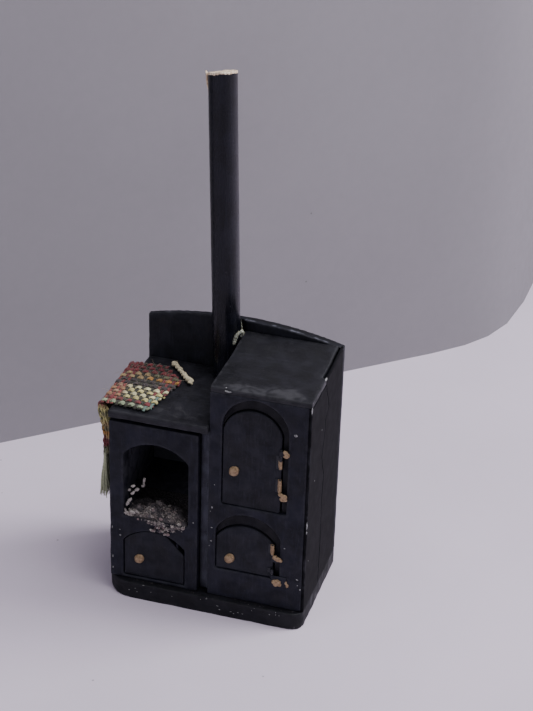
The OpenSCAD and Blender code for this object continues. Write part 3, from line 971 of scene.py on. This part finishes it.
ASH_TINTS = ((0.26, 0.225, 0.21), (0.2, 0.16, 0.155), (0.38, 0.345, 0.31), (0.24, 0.17, 0.165),
             (0.1, 0.09, 0.095), (0.5, 0.46, 0.41), (0.05, 0.046, 0.05))


def ash_height(x, y):
    """How high the ash lies above the sill: a low ragged heap, highest a little left of middle."""
    flat = xyz(x, y, 0)
    across = bell(x, 11.5, 6.2) + 0.45 * bell(x, 20.5, 3.4)
    back = smooth(-y, -14, -5)
    ragged = 0.55 + 0.75 * lumps(flat, 3.4, 61, 3)
    return np.clip(3.6 * across * back * ragged * (0.35 + 0.65 * smooth(y, 0.2, 3.4)), 0, None)


def patchy(points):
    """From 0 to 1, how pale the ash is: pink-grey clumps among burnt black."""
    return smooth(lumps(points, 2.1, 64, 3), -0.22, 0.4)


def make_ash():
    """The heap's skin: a closed sheet over the fire deck, pinched thin at its edges."""
    columns, rows = 110, 96
    left, right, front, back = 4.6, 23.9, 0.4, 16.5
    gx, gy = np.meshgrid(np.linspace(left, right, columns), np.linspace(front, back, rows),
                         indexing="ij")
    flat = xyz(gx.ravel(), gy.ravel(), 0)
    z = ash_height(flat[:, 0], flat[:, 1])
    z = SILL + 0.05 + z * (1 + 0.25 * lumps(flat, 0.8, 62, 3))
    z = z + 0.12 * (1 + lumps(flat, 0.5, 65, 2))
    edge = np.minimum(np.minimum(gx - left, right - gx), gy - front).ravel()
    z = SILL + (z - SILL) * (0.12 + 0.88 * smooth(edge, 0, 0.7))
    points = np.vstack([xyz(flat[:, 0], flat[:, 1], z), xyz(flat[:, 0], flat[:, 1], SILL + 0.01)])
    under = columns * rows
    faces = []
    for a, b, c, d in net(columns, rows):
        faces.append([a, d, c, b])
        faces.append([b + under, c + under, d + under, a + under])
    grid = np.arange(under).reshape(columns, rows)
    rim = np.concatenate([grid[:, 0], grid[-1, 1:], grid[-2::-1, -1], grid[0, -2:0:-1]]).tolist()
    for a, b in zip(rim, rim[1:] + rim[:1]):
        faces.append([a + under, b + under, b, a])
    pale = patchy(points) * (0.35 + 0.65 * smooth(points[:, 2], SILL + 0.4, SILL + 1.8))
    grain = 0.75 + 0.35 * lumps(points, 0.45, 63, 2)
    tint = np.array((0.035, 0.032, 0.036)) + (pale * grain)[:, None] * np.array((0.25, 0.205, 0.2))
    # Painted shade: the ash darkens towards the back of the fire mouth.
    deep_shade = 1 - 0.8 * smooth(points[:, 1], 4, 12)
    heap = mesh_object("ash_mound", points, faces, ASH, tint=np.clip(tint * deep_shade[:, None], 0, 1))
    return dress(heap, "root", "ash", "ash_heap")


def crumbs(name, spots, node=None, kind=GRAIN, dark=1.0):
    """Loose crumbs at (x, y, z, size, flatness), in one mesh."""
    soup = Soup()
    for x, y, z, size, flat_by in spots:
        tint = np.array(ASH_TINTS[rng.integers(len(ASH_TINTS))]) * rng.uniform(0.7, 1.15) * dark
        radii = size * rng.uniform(0.5, 1.3, 3) * np.array((1, 1, flat_by))
        add_lump(soup, (x, y, z), radii, np.clip(tint, 0, 1), rng, 0.45, 0.8, kind, turned(rng))
    obj = soup.build(name, ASH, flat=kind is GRAIN)
    return dress(obj, "root", "ash", *([node] if node else []))


def scatter(count, x_mid, x_spread, y_spread):
    """Places on the heap, kept mostly to its pale clumps."""
    kept = []
    while len(kept) < count:
        x = rng.normal(x_mid, x_spread)
        y = abs(rng.normal(0, y_spread)) + 0.4
        if not 4.9 < x < 23.6:
            continue
        if patchy(np.array([[x, y, SILL + 1.0]]))[0] > rng.uniform(0.1, 0.9):
            kept.append((x, y))
    return kept


def heap_crumbs():
    on_heap = []
    for x, y in scatter(950, 12.0, 4.8, 2.4):
        z = SILL + 0.1 + ash_height(*np.array([[x], [y]]))[0] + rng.uniform(-0.1, 0.4)
        size = rng.choice((0.12, 0.18, 0.27, 0.4, 0.6), p=(0.3, 0.3, 0.2, 0.13, 0.07))
        on_heap.append((x, y, z, size, rng.uniform(0.3, 0.9)))
    crumbs("ash_crumbs", on_heap)


def spilt_crumbs():
    """Ash over the sill, and the larger crumbs that hang below it."""
    spilt = []
    while len(spilt) < 330:
        x = np.clip(rng.normal(17.4, 2.9), 9.0, 23.2)
        fall = (1 - min(1, abs(x - 17.6) / 6.5)) * 3.6 + 0.4
        z = SILL + 0.1 - abs(rng.normal(0, 0.45)) * fall
        if z < 23.9 or lumps(np.array([[x, 0, z]]), 1.5, 66)[0] < rng.uniform(-0.5, 0.35):
            continue
        lift = 0.1 + 0.35 * rng.random() * smooth(np.array([z]), 24, 27.5)[0]
        size = rng.choice((0.12, 0.2, 0.32, 0.5), p=(0.3, 0.3, 0.25, 0.15))
        spilt.append((x, -lift, z, size, rng.uniform(0.35, 1)))
    for x, z in ((13.4, 24.4), (14.2, 24.6), (17.6, 24.2), (18.4, 24.1), (16.6, 25.0), (19.6, 26.2),
                 (20.1, 26.5)):
        for _ in range(4):
            spilt.append((x + rng.normal(0, 0.28), -0.35 - 0.25 * rng.random(),
                          z + rng.normal(0, 0.2), rng.uniform(0.3, 0.6), 0.85))
    crumbs("ash_spilling", spilt, node="ash_spill")


def pale_flakes():
    """Flakes stacked in the fire mouth's left corner."""
    flakes = Soup()
    for x, y, z, long, short, lean, pale in (
            (10.0, 2.4, 39.5, 0.75, 0.42, 80, 0.5), (9.95, 2.4, 38.2, 0.8, 0.36, 95, 0.32),
            (9.6, 2.3, 37.4, 0.5, 0.4, 30, 0.4), (6.8, 1.9, 37.1, 0.7, 0.42, 30, 0.75),
            (7.9, 1.9, 36.1, 0.85, 0.5, 45, 0.6), (6.7, 1.8, 34.7, 0.9, 0.42, 48, 0.8),
            (5.7, 1.6, 35.8, 0.5, 0.4, 20, 0.5), (5.9, 1.3, 32.4, 0.95, 0.5, 50, 0.65),
            (5.3, 1.1, 31.3, 0.9, 0.5, 60, 0.6), (4.8, 0.6, 29.1, 0.7, 0.3, 110, 0.5),
            (4.9, 0.5, 28.4, 0.7, 0.35, 20, 0.5), (7.0, 0.8, 28.7, 0.9, 0.45, 170, 0.8),
            (8.3, 1.0, 29.0, 0.8, 0.4, 150, 0.6)):
        tint = np.array((0.62, 0.57, 0.52)) * pale
        add_lump(flakes, (x, y, z), (long, 0.3, short), tint, rng, 0.5, 0.6, LUMP, tilted(-lean))
    dress(flakes.build("pale_flakes", ASH), "root", "ash", "ash_flakes")


def front_dust():
    """Ash dust on the base board and on the front's flat strips."""
    dust = []
    for _ in range(120):
        x = rng.uniform(1.5, 58.5)
        if rng.random() < 0.45:
            y = -abs(rng.normal(0.2, 0.7)) - 0.08
            dust.append((x, y, 5.68, rng.uniform(0.04, 0.1), 0.5))
        elif x < 3.6 or 24.2 < x < 26.6 or 30.8 < x < 32.6 or x > 54.5:
            z = min(6.5 + abs(rng.normal(0, 9)), 34)
            dust.append((x, -0.02, z, rng.uniform(0.04, 0.1), 0.4))
    crumbs("ash_dust", dust, dark=0.6)


def ash_threads():
    """Fluffy threads standing in the heap."""
    threads = Soup()
    for x, y in scatter(150, 13.5, 5.0, 1.8):
        z = SILL + 0.35 + ash_height(*np.array([[x], [y]]))[0]
        t = np.linspace(0, 1, 8)[:, None]
        run = np.array((rng.uniform(-1.6, 1.6), rng.uniform(-0.6, 0.6), rng.uniform(-0.4, 0.7)))
        path = np.array((x, y, z)) + run * t + rng.normal(0, 0.5, 3) * t * (1 - t) * 3
        path[:, 1] = np.maximum(path[:, 1], 0.2)
        tint = np.array((0.4, 0.34, 0.31)) * rng.uniform(0.4, 1.3)
        tube(threads, path, UPWARD, 0.08, 0.08, tint, sides=4, relief=0)
    dress(threads.build("ash_threads", ASH), "root", "ash")


make_ash()
heap_crumbs()
spilt_crumbs()
pale_flakes()
front_dust()
ash_threads()


def chip(soup, centre, normal, width, height, thick=0.12):
    """A flat flake of pale paint lying on a face."""
    n = Vector(normal).normalized()
    side = n.orthogonal().normalized() if abs(n.z) > 0.9 else Vector((0, 0, 1)).cross(n)
    side.normalize()
    up = n.cross(side)
    turn = np.array(Matrix((side, up, n)).transposed())
    add_lump(soup, centre, (width / 2, height / 2, thick), (1, 1, 1), rng, 0.5, 0.55, LUMP, turn)


def make_chips():
    """Pale flakes: the larger ones in their own places, small ones strewn on the base."""
    soup = Soup()
    front, right = (0, -1, 0), (1, 0, 0)
    chip(soup, (35.9, 0.1, 75.35), (0.1, -1, 0.8), 2.3, 0.7, 0.08)
    chip(soup, (34.9, 0.4, 75.7), (0, -1, 1), 0.6, 1.2, 0.08)
    chip(soup, (59.8, 14.9, 75.85), (1, 0, 0.8), 2.2, 0.6, 0.1)
    chip(soup, (59.9, 0.1, 73.6), (1, -1, 0), 0.4, 2.4, 0.1)
    chip(soup, (59.9, 0.1, 35.7), (1, -1, 0), 0.4, 2.6, 0.1)
    chip(soup, (59.9, 0.1, 33.5), (1, -1, 0), 0.35, 1.0, 0.1)
    for x, z, w, h in ((0.8, 22.8, 0.3, 1.0), (57.7, 16.8, 0.7, 0.45), (58.7, 13.5, 0.45, 0.5),
                       (57.9, 14.8, 0.3, 0.3), (55.6, 64.9, 0.95, 0.8), (31.6, 36.2, 0.4, 0.7),
                       (31.1, 34.8, 0.3, 0.3), (32.2, 44, 0.25, 0.3), (31.6, 29.2, 0.5, 0.3),
                       (0.9, 12.5, 0.3, 0.9), (0.9, 8.4, 0.35, 0.6), (25.9, 29.6, 0.5, 0.5),
                       (3.3, 20.4, 0.65, 0.6), (3.2, 22.4, 0.35, 0.3), (31.4, 24.6, 0.5, 0.5),
                       (30.9, 22.8, 0.4, 0.3), (53.6, 26.8, 0.5, 0.3)):
        chip(soup, (x, -0.03, z), front, w, h, 0.06)
    for _ in range(20):
        x = rng.uniform(3, 56)
        chip(soup, (x, -2.0, rng.uniform(1.8, 5.4)), front, rng.uniform(0.15, 0.6),
             rng.uniform(0.12, 0.28), 0.06)
    for y, z in ((3.0, 22), (6.1, 47.5), (12.0, 61)):
        chip(soup, (60.0, y, z), right, 0.3, 0.45, 0.05)
    obj = soup.build("paint_chips", CHIP)
    return dress(obj, "root", "dried_glue")


make_chips()


# ---- Cloth ----

PITCH_X = 1.45  # from one cross yarn to the next
(CLOTH_LEFT, *_, CLOTH_BOTTOM), (CLOTH_RIGHT, *_) = node_box("woven_cloth")
CLOTH_Y = (node_box("woven_cloth")[0][1], node_box("woven_cloth")[1][1])
FRINGE_BOTTOM = node_box("cloth_fringe")[0][2]
CLOTH_HALF = 0.75  # half the thickness
BEND = 1.7  # radius over the hob's edge
BEND_X = CLOTH_LEFT + CLOTH_HALF + BEND
CLOTH_TOP = HOB_TOP + 0.1 + CLOTH_HALF
FLAT_RUN = CLOTH_RIGHT - BEND_X
ARC_RUN = BEND * math.pi / 2
DROP_RUN = CLOTH_TOP - BEND - CLOTH_BOTTOM
RUN = FLAT_RUN + ARC_RUN + DROP_RUN
ROWS = 13
WARPS = int(RUN / PITCH_X)
RIGHT_CUT = ((0.6, 9.0, 19.6, 27.2), (12.0, 13.6, 15.6, 8.4))  # depths, and the torn edge there
HEM_TUCK = 1.0
SHOULDER_BULGE = 0.7


def first_shape(a, v):
    """The scrap as laid by hand: a runs from its right end down to its hem, v front to back."""
    a = np.asarray(a, float)
    v = np.asarray(v, float)
    turn = np.clip((a - FLAT_RUN) / BEND, 0, math.pi / 2)
    x = np.where(a < FLAT_RUN, CLOTH_RIGHT - a, BEND_X - BEND * np.sin(turn))
    drop = np.clip(a - FLAT_RUN - ARC_RUN, 0, None)
    z = CLOTH_TOP - BEND * (1 - np.cos(turn)) - drop
    x = x + HEM_TUCK * smooth(drop, 2.5, 10.5)
    x = x - SHOULDER_BULGE * bell(drop, 1.0, 3.0) * smooth(a, FLAT_RUN, FLAT_RUN + 2)
    front = CLOTH_Y[0] + 2.0 * (1 - np.clip((x - CLOTH_LEFT) / 15, 0, 1))
    y = front + v * (CLOTH_Y[1] - front)
    return np.stack([x, y, z], -1)


GRID_A, GRID_V = 70, 54
SIM_STEPS = 36
MAX_MOVE = 0.4


def drape():
    """Lets the scrap settle over the hob's end in a cloth simulation, at 20 times its size."""
    a, v = np.meshgrid(np.linspace(0, RUN, GRID_A), np.linspace(0, 1, GRID_V), indexing="ij")
    rest = first_shape(a, v)
    scale = 0.02
    points = rest.reshape(-1, 3).copy()
    points[:, 2] += 0.25
    mesh = bpy.data.meshes.new("drape")
    mesh.from_pydata(points * scale, [], net(GRID_A, GRID_V))
    cloth = bpy.data.objects.new("drape", mesh)
    blocks = []
    for low, high in (((0.3, -1.2, HOB_TOP - 2.4), (30.3, 33.8, HOB_TOP)),
                      ((0.0, 0.0, 5.6), (27.2, 35.8, HOB_TOP - 2.4))):
        low, high = np.array(low), np.array(high)
        corners = [[(low, high)[(k >> i) & 1][i] for i in range(3)] for k in range(8)]
        box = bpy.data.meshes.new("block")
        box.from_pydata(np.array(corners) * scale, [], [
            [0, 2, 3, 1], [4, 5, 7, 6], [0, 1, 5, 4], [2, 6, 7, 3], [0, 4, 6, 2], [1, 3, 7, 5]])
        block = bpy.data.objects.new("block", box)
        bpy.context.scene.collection.objects.link(block)
        block.modifiers.new("collide", "COLLISION")
        block.collision.thickness_outer = 0.004
        block.collision.cloth_friction = 30
        blocks.append(block)
    bpy.context.scene.collection.objects.link(cloth)
    held = cloth.vertex_groups.new(name="held")
    grip = np.clip((points[:, 0] - 3.0) / 6.0, 0, 1)
    for k, g in enumerate(grip):
        if g > 0:
            held.add([k], float(g), "REPLACE")
    sim = cloth.modifiers.new("cloth", "CLOTH")
    for key, value in dict(quality=8, mass=0.25, tension_stiffness=40, compression_stiffness=40,
                           shear_stiffness=12, bending_stiffness=30, vertex_group_mass="held",
                           pin_stiffness=2.0).items():
        setattr(sim.settings, key, value)
    sim.collision_settings.distance_min = (CLOTH_HALF - 0.1) * scale
    sim.collision_settings.collision_quality = 4
    sim.point_cache.frame_start = 1
    sim.point_cache.frame_end = SIM_STEPS
    scene = bpy.context.scene
    for step in range(1, SIM_STEPS + 1):
        scene.frame_set(step)
    evaluated = cloth.evaluated_get(bpy.context.evaluated_depsgraph_get())
    settled = np.array([p.co for p in evaluated.data.vertices]) / scale
    for o in (cloth, *blocks):
        bpy.data.objects.remove(o)
    scene.frame_set(1)
    moved = settled - points
    far = np.linalg.norm(moved, axis=1, keepdims=True)
    moved *= np.minimum(1, MAX_MOVE / np.maximum(far, 1e-9))
    return (rest.reshape(-1, 3) + moved).reshape(GRID_A, GRID_V, 3)


DRAPED = drape()


def on_grid(grid, a, v):
    """The point of a grid at run a and share v."""
    i = np.clip(np.asarray(a, float) / RUN * (GRID_A - 1), 0, GRID_A - 1.001)
    j = np.clip(np.asarray(v, float) * (GRID_V - 1), 0, GRID_V - 1.001)
    i0, j0 = i.astype(int), j.astype(int)
    fi, fj = (i - i0)[:, None], (j - j0)[:, None]
    near = grid[i0, j0] * (1 - fj) + grid[i0, j0 + 1] * fj
    far = grid[i0 + 1, j0] * (1 - fj) + grid[i0 + 1, j0 + 1] * fj
    return near * (1 - fi) + far * fi


def one_on_grid(grid, a, v):
    return on_grid(grid, np.array([a]), np.array([v]))[0]


along = np.gradient(DRAPED, axis=0)
aside = np.gradient(DRAPED, axis=1)
FACING = np.cross(aside, along)
FACING /= np.linalg.norm(FACING, axis=2, keepdims=True)
if FACING[4, GRID_V // 2, 2] < 0:
    FACING = -FACING


def cut_right(y):
    """How far right the scrap reaches at depth y, in its torn outline."""
    return np.interp(y, *RIGHT_CUT)


SAGE = (0.27, 0.33, 0.2)
ROSE = (0.17, 0.03, 0.033)
SALMON = (0.24, 0.06, 0.05)
CREAM = (0.56, 0.5, 0.21)
PALE = (0.6, 0.57, 0.33)
OLIVE = (0.028, 0.027, 0.018)
BROWN = (0.05, 0.038, 0.04)
GOLDEN = (0.42, 0.2, 0.045)
DARK_RED = (0.13, 0.018, 0.023)
MOSS = (0.12, 0.115, 0.06)
TEAL = (0.13, 0.2, 0.165)
TAN = (0.36, 0.25, 0.12)
LICHEN = (0.4, 0.43, 0.28)

WEFTS = (SAGE, ROSE, CREAM, PALE, CREAM, PALE, BROWN, BROWN, GOLDEN, MOSS, ROSE, DARK_RED, ROSE)
FRINGES = (LICHEN, LICHEN, PALE, LICHEN, CREAM, LICHEN, MOSS, LICHEN, GOLDEN, MOSS, ROSE,
           DARK_RED, ROSE)


def warp_tint(x, z, y):
    """The cross yarns' colours: dark in the middle, red near the bend, striped down the hang."""
    if z < CLOTH_TOP - BEND:
        if z > 55.5:
            return CREAM if int(z * 0.7) % 2 else MOSS
        if z > 52.5:
            return GOLDEN
        return DARK_RED if z > 48.8 else SAGE
    if x < 1.6:
        return SALMON if y < 14 else ROSE
    if x > 10.2:
        return TEAL if y < 9 else ROSE
    return OLIVE


def weave():
    """Weft yarns along the scrap and warp yarns across it, over and under in turn."""
    ply = 0.34
    wefts = Soup()
    warps = Soup()
    for row in range(ROWS):
        v = (row + 0.5) / ROWS
        y = first_shape(np.array([FLAT_RUN * 0.5]), np.array([v]))[0][1]
        start = CLOTH_RIGHT - cut_right(y) - 0.1 + 0.5 * rng.random()
        a = np.arange(start, RUN + 0.3, 0.16)
        share = np.full(len(a), v)
        wave = np.cos(np.pi * (a / PITCH_X - 0.5) + np.pi * row)
        facing = on_grid(FACING, a, share)
        drift = 0.1 * lumps(xyz(a, share * 40, 0), 3.0, 81)
        path = on_grid(DRAPED, a, share + drift / 26) + facing * (ply * wave)[:, None]
        per_float = lumps(xyz(np.floor(a / PITCH_X) * 3.1, share * 97, 0), 1.0, 82, 1)
        tint = np.array(WEFTS[row]) * (1 + 0.22 * per_float)[:, None]
        if WEFTS[row] in (GOLDEN, MOSS) and v > 0.6:
            tan = smooth(-path[:, 0], -7.5, -4.0)[:, None]
            tint = tint * (1 - tan) + np.array(TAN) * tan
        if WEFTS[row] in (CREAM, PALE):
            x = path[:, 0]
            red = smooth(-x, -3.2, -0.6) * smooth(path[:, 2], 60.5, 62)
            tint = tint * (1 - 0.75 * red[:, None]) + np.array(SALMON) * 0.75 * red[:, None]
        tuck = smooth(a - start, -0.1, 0.9)
        tube(wefts, path, facing, (0.78 + 0.13 * wave) * (0.55 + 0.45 * tuck), 0.33, tint,
             sides=14, twist=1.7)
    for column in range(WARPS):
        a_mid = (column + 0.5) * PITCH_X
        v = np.arange(-0.012, 1.012, 0.0062)
        a = np.full(len(v), a_mid)
        base = on_grid(DRAPED, a, v)
        inside = base[:, 0] < cut_right(base[:, 1]) - 0.3
        if inside.sum() < 6:
            continue
        v, a, base = v[inside], a[inside], base[inside]
        wave = -np.cos(np.pi * (v * ROWS - 0.5) + np.pi * column)
        facing = on_grid(FACING, a, v)
        past = np.clip(v, None, 0) + np.clip(v - 1, 0, None)
        path = base + facing * (ply * 0.92 * wave)[:, None]
        path[:, 1] += past * (CLOTH_Y[1] - CLOTH_Y[0])
        tint = np.array([warp_tint(p[0], p[2], p[1]) for p in path])
        tint = tint * (1 + 0.2 * lumps(path, 1.6, 83, 2))[:, None]
        tube(warps, path, facing, 0.47, 0.27, tint, sides=10, twist=2.6)
    return wefts.build("weft_yarns", YARN), warps.build("warp_yarns", YARN)


def painted_shade_sheet():
    """A thin dark sheet under the yarns, cut to the torn outline: painted shade in the gaps between
    them.
    """
    a_count, v_count = 120, 90
    a, v = (g.ravel() for g in np.meshgrid(
        np.linspace(0, RUN, a_count), np.linspace(0.012, 0.988, v_count), indexing="ij"))
    facing = on_grid(FACING, a, v)
    reach = CLOTH_RIGHT - cut_right(on_grid(DRAPED, a, v)[:, 1]) + 0.5
    mid = on_grid(DRAPED, np.maximum(a, reach), v)
    half = 0.09
    keep = a >= reach - RUN / a_count
    points = np.vstack([mid + facing * half, mid - facing * half])
    total = a_count * v_count
    quads = [quad for quad in net(a_count, v_count) if keep[quad].all()]
    faces = []
    border = {}
    for quad in quads:
        faces.append(quad)
        faces.append([total + q for q in quad[::-1]])
        border.update(dict.fromkeys(zip(quad, quad[1:] + quad[:1])))
    for p, q in border:
        if (q, p) not in border:
            faces.append([q, p, total + p, total + q])
    used = sorted({i for f in faces for i in f})
    renumber = {old: new for new, old in enumerate(used)}
    faces = [[renumber[i] for i in f] for f in faces]
    points = points[used]
    area = len(quads) * (RUN / (a_count - 1)) * ((CLOTH_Y[1] - CLOTH_Y[0]) * 0.976 / (v_count - 1))
    # Near black: painted shade between the yarns.
    tint = np.tile((0.05, 0.045, 0.03), (len(points), 1))
    return mesh_object("cloth_painted_shade", points, faces, CLOTH_SHADE, tint=tint), area


def make_fringe():
    """Loose weft ends below the last cross yarn, splayed and wispy."""
    soup = Soup()
    for row in range(ROWS):
        for _ in range(40 if row < 4 else 18):
            v = (row + 0.5 + rng.uniform(-0.42, 0.42)) / ROWS
            top = one_on_grid(DRAPED, RUN - 0.6, v)
            long = top[2] - FRINGE_BOTTOM - rng.uniform(-0.4, 3.2)
            t = np.linspace(0, 1, 30)
            sway = rng.uniform(-2.2, 0.6)
            lean = rng.uniform(-1.0, 1.0)
            wave = 0.35 * np.sin(t * rng.uniform(4, 9) + rng.uniform(0, 6)) * t
            x = top[0] + rng.uniform(-0.35, 0.35) + sway * t ** 1.5 + wave * 0.6
            x = np.clip(x - 0.25, CLOTH_LEFT - 0.9, -0.55)
            path = xyz(x, top[1] + lean * t + wave, top[2] - long * t)
            slim = np.interp(t, (0, 0.6, 1), (0.4, 0.36, 0.12))
            tint = np.array(FRINGES[row]) * rng.uniform(0.8, 1.15)
            tube(soup, path, LEFTWARD, slim, slim * 0.8, tint, sides=7, twist=3.0)
    return soup.build("fringe_strands", YARN)


def edge_tint(z):
    """Colours down the hanging front edge, from the bend to the fringe."""
    heights = (47, 48.6, 49.2, 51.2, 51.8, 53.6, 54.2, 56.5, 57.5, 59.5, 61, 62.5)
    tints = (MOSS, MOSS, DARK_RED, DARK_RED, TAN, GOLDEN, MOSS, TAN, CREAM, MOSS, CREAM, ROSE)
    return np.array([np.interp(z, heights, [t[k] for t in tints]) for k in range(3)]).T


def make_front_edge():
    """The scrap's loose front edge, bunched where it hangs down beside the hob's corner."""
    soup = Soup()
    for strand in range(9):
        inward = 0.3 * strand
        a = np.arange(FLAT_RUN + 1.2 + 0.25 * strand, RUN + 0.5, 0.2)
        base = on_grid(DRAPED, a, np.full(len(a), 0.01 + 0.02 * (strand % 3)))
        facing = on_grid(FACING, a, np.full(len(a), 0.02))
        path = base - facing * (inward - 0.35)
        path[:, 0] = np.minimum(path[:, 0], -0.55)
        path[:, 0] += 0.22 * lumps(xyz(a, strand * 3, 0), 1.6, 84)
        path[:, 1] += 0.3 * lumps(xyz(a, strand * 5, 0), 1.3, 85) - 0.2
        mottle = 1 + 0.45 * lumps(path * (1, 1, 1.4), 1.1, 86, 2)
        tint = edge_tint(path[:, 2]) * mottle[:, None]
        tube(soup, path, facing, 0.42, 0.4, tint, sides=8, twist=1.5)
    return soup.build("front_edge_yarns", YARN)


def make_fuzz():
    """Fine broken fibres standing off the yarns."""
    soup = Soup()
    for _ in range(260):
        a, v = rng.uniform(0.5, RUN), rng.uniform(0, 1)
        root = one_on_grid(DRAPED, a, v)
        if root[0] > cut_right(root[1]) + 0.2:
            continue
        facing = one_on_grid(FACING, a, v)
        t = np.linspace(0, 1, 6)[:, None]
        side = rng.normal(0, 0.7, 3)
        bend = rng.normal(0, 0.5, 3)
        path = root + facing * (0.45 + 0.7 * t * rng.uniform(0.4, 1)) + side * t + bend * t * t
        tint = np.array((0.6, 0.5, 0.36)) * rng.uniform(0.3, 0.9)
        tube(soup, path, facing + 0.01, 0.024, 0.024, tint, sides=4, relief=0)
    return soup.build("yarn_fuzz", YARN)


def make_selvedge():
    """A thick knobbly cream yarn pulled off the cloth's edge, lying on the hob."""
    soup = Soup()
    low, high = node_box("selvedge_yarn")
    start = np.array([low[0] + 0.6, high[1] - 0.6])
    end = np.array([high[0] - 0.6, low[1] + 0.6])
    t = np.linspace(0, 1, 170)
    bow = 0.45 * np.sin(t * math.pi * 1.6 + 0.4)
    fat = 0.8 + 0.16 * np.sin(t * 17) * np.sin(t * 7.3 + 1) + 0.25 * smooth(t, 0.78, 0.95)
    fat = fat * np.minimum(1, np.minimum(t, 1 - t) * 18 + 0.35)
    x = start[0] + (end[0] - start[0]) * t + bow * 0.5
    y = start[1] + (end[1] - start[1]) * t + bow * 0.5
    z = HOB_TOP + 0.1 + fat + 0.15 * np.abs(np.sin(t * 9))
    path = xyz(x, y, z)
    tint = np.array((0.68, 0.6, 0.4)) * (1 + 0.14 * lumps(path, 1.2, 91))[:, None]
    tube(soup, path, UPWARD, fat, fat * 0.9, tint, sides=18, twist=1.9, relief=0.2)
    return soup.build("selvedge_cord", YARN)


weft, warp = weave()
shade_sheet, flat_area = painted_shade_sheet()
fringe, fuzz, selvedge = make_fringe(), make_fuzz(), make_selvedge()
front_edge = make_front_edge()
dress(shade_sheet, "root", "woven_fabric", "woven_cloth")
for part in (weft, warp, fuzz, front_edge):
    dress(part, "root", "woven_fabric")
dress(fringe, "root", "fringe_yarn", "cloth_fringe")
dress(selvedge, "root", "cream_yarn", "selvedge_yarn")


# ---- Camera, floor, backdrop and light ----

def make_camera():
    """A long lens, a little to the object's right and well above it."""
    azimuth, elevation, roll = (math.radians(a) for a in (15.82, 28.50, 1.84))
    target = Vector((12.83, -1.9, 80.14)) * MM
    distance = 0.519
    back = Vector((
        math.sin(azimuth) * math.cos(elevation),
        -math.cos(azimuth) * math.cos(elevation),
        math.sin(elevation),
    ))
    right = (-back).cross(Vector((0, 0, 1))).normalized()
    up = back.cross(right)
    turned_right = right * math.cos(roll) + up * math.sin(roll)
    turned_up = up * math.cos(roll) - right * math.sin(roll)
    data = bpy.data.cameras.new("camera")
    data.lens = 93.3
    data.sensor_width = 36
    data.clip_start = 0.01
    data.clip_end = 10
    camera = bpy.data.objects.new("camera", data)
    axes = Matrix((turned_right, turned_up, back)).transposed().to_4x4()
    camera.matrix_world = Matrix.Translation(target + back * distance) @ axes
    bpy.context.scene.collection.objects.link(camera)
    bpy.context.scene.camera = camera


def stage_material(name, colour):
    s = Shader(name)
    cloud = s.noise(60, 4)
    speck = s.specks(9, 0.05, 0.12)
    tone = s.mix(s.ramp(cloud, 0.3, 0.7), tuple(0.95 * c for c in colour), colour)
    tone = s.mix(speck, tone, tuple(0.55 * c for c in colour))
    return s.finish(tone, s.uneven(0.72, 0.85, 4, 3), s.noise(1.2, 3), 0.05, 0.25)


def make_stage():
    """A pale table top, and a grey board standing behind with a rounded end."""
    half = 2000
    corners = [(-half, -half, 0), (half, -half, 0), (half, half, 0), (-half, half, 0)]
    floor = mesh_object("floor", corners, [[0, 1, 2, 3]],
                        stage_material("pale_floor", (0.655, 0.582, 0.685)), flat=True)
    outline = [(-560, -388), (-65.7, 66.7), (60.0, 179.5), (70.5, 190.3), (77.5, 200.5),
               (82.5, 213.5), (85.5, 235.0), (86.5, 262.0), (87.0, 900.0)]
    high = 900
    points = [(x, y, z) for z in (0, high) for x, y in outline]
    board = mesh_object("backdrop", points, net(2, len(outline)),
                        stage_material("grey_backdrop", (0.241, 0.227, 0.248)))


def lamp(name, place, size, power, colour, aim=(0, 0, 50)):
    data = bpy.data.lights.new(name, "AREA")
    data.shape = "DISK"
    data.size = size * MM
    data.energy = power
    data.color = colour
    light = bpy.data.objects.new(name, data)
    spot = Vector(place) * MM
    light.matrix_world = (Matrix.Translation(spot)
                          @ (spot - Vector(aim) * MM).to_track_quat("Z", "Y").to_matrix().to_4x4())
    bpy.context.scene.collection.objects.link(light)


make_camera()
make_stage()
lamp("window", (560, 220, 560), 360, 5.6, (0.97, 0.96, 1.0))
lamp("ceiling", (250, -60, 820), 560, 4.6, (0.97, 0.95, 1.0))
lamp("low_fill", (-300, -520, 260), 500, 0.7, (0.92, 0.93, 1.0))
world = bpy.data.worlds.new("room")
bpy.context.scene.world = world
world.use_nodes = True
sky = world.node_tree.nodes["Background"]
sky.inputs[0].default_value = (0.80, 0.80, 0.88, 1)
sky.inputs[1].default_value = 0.36
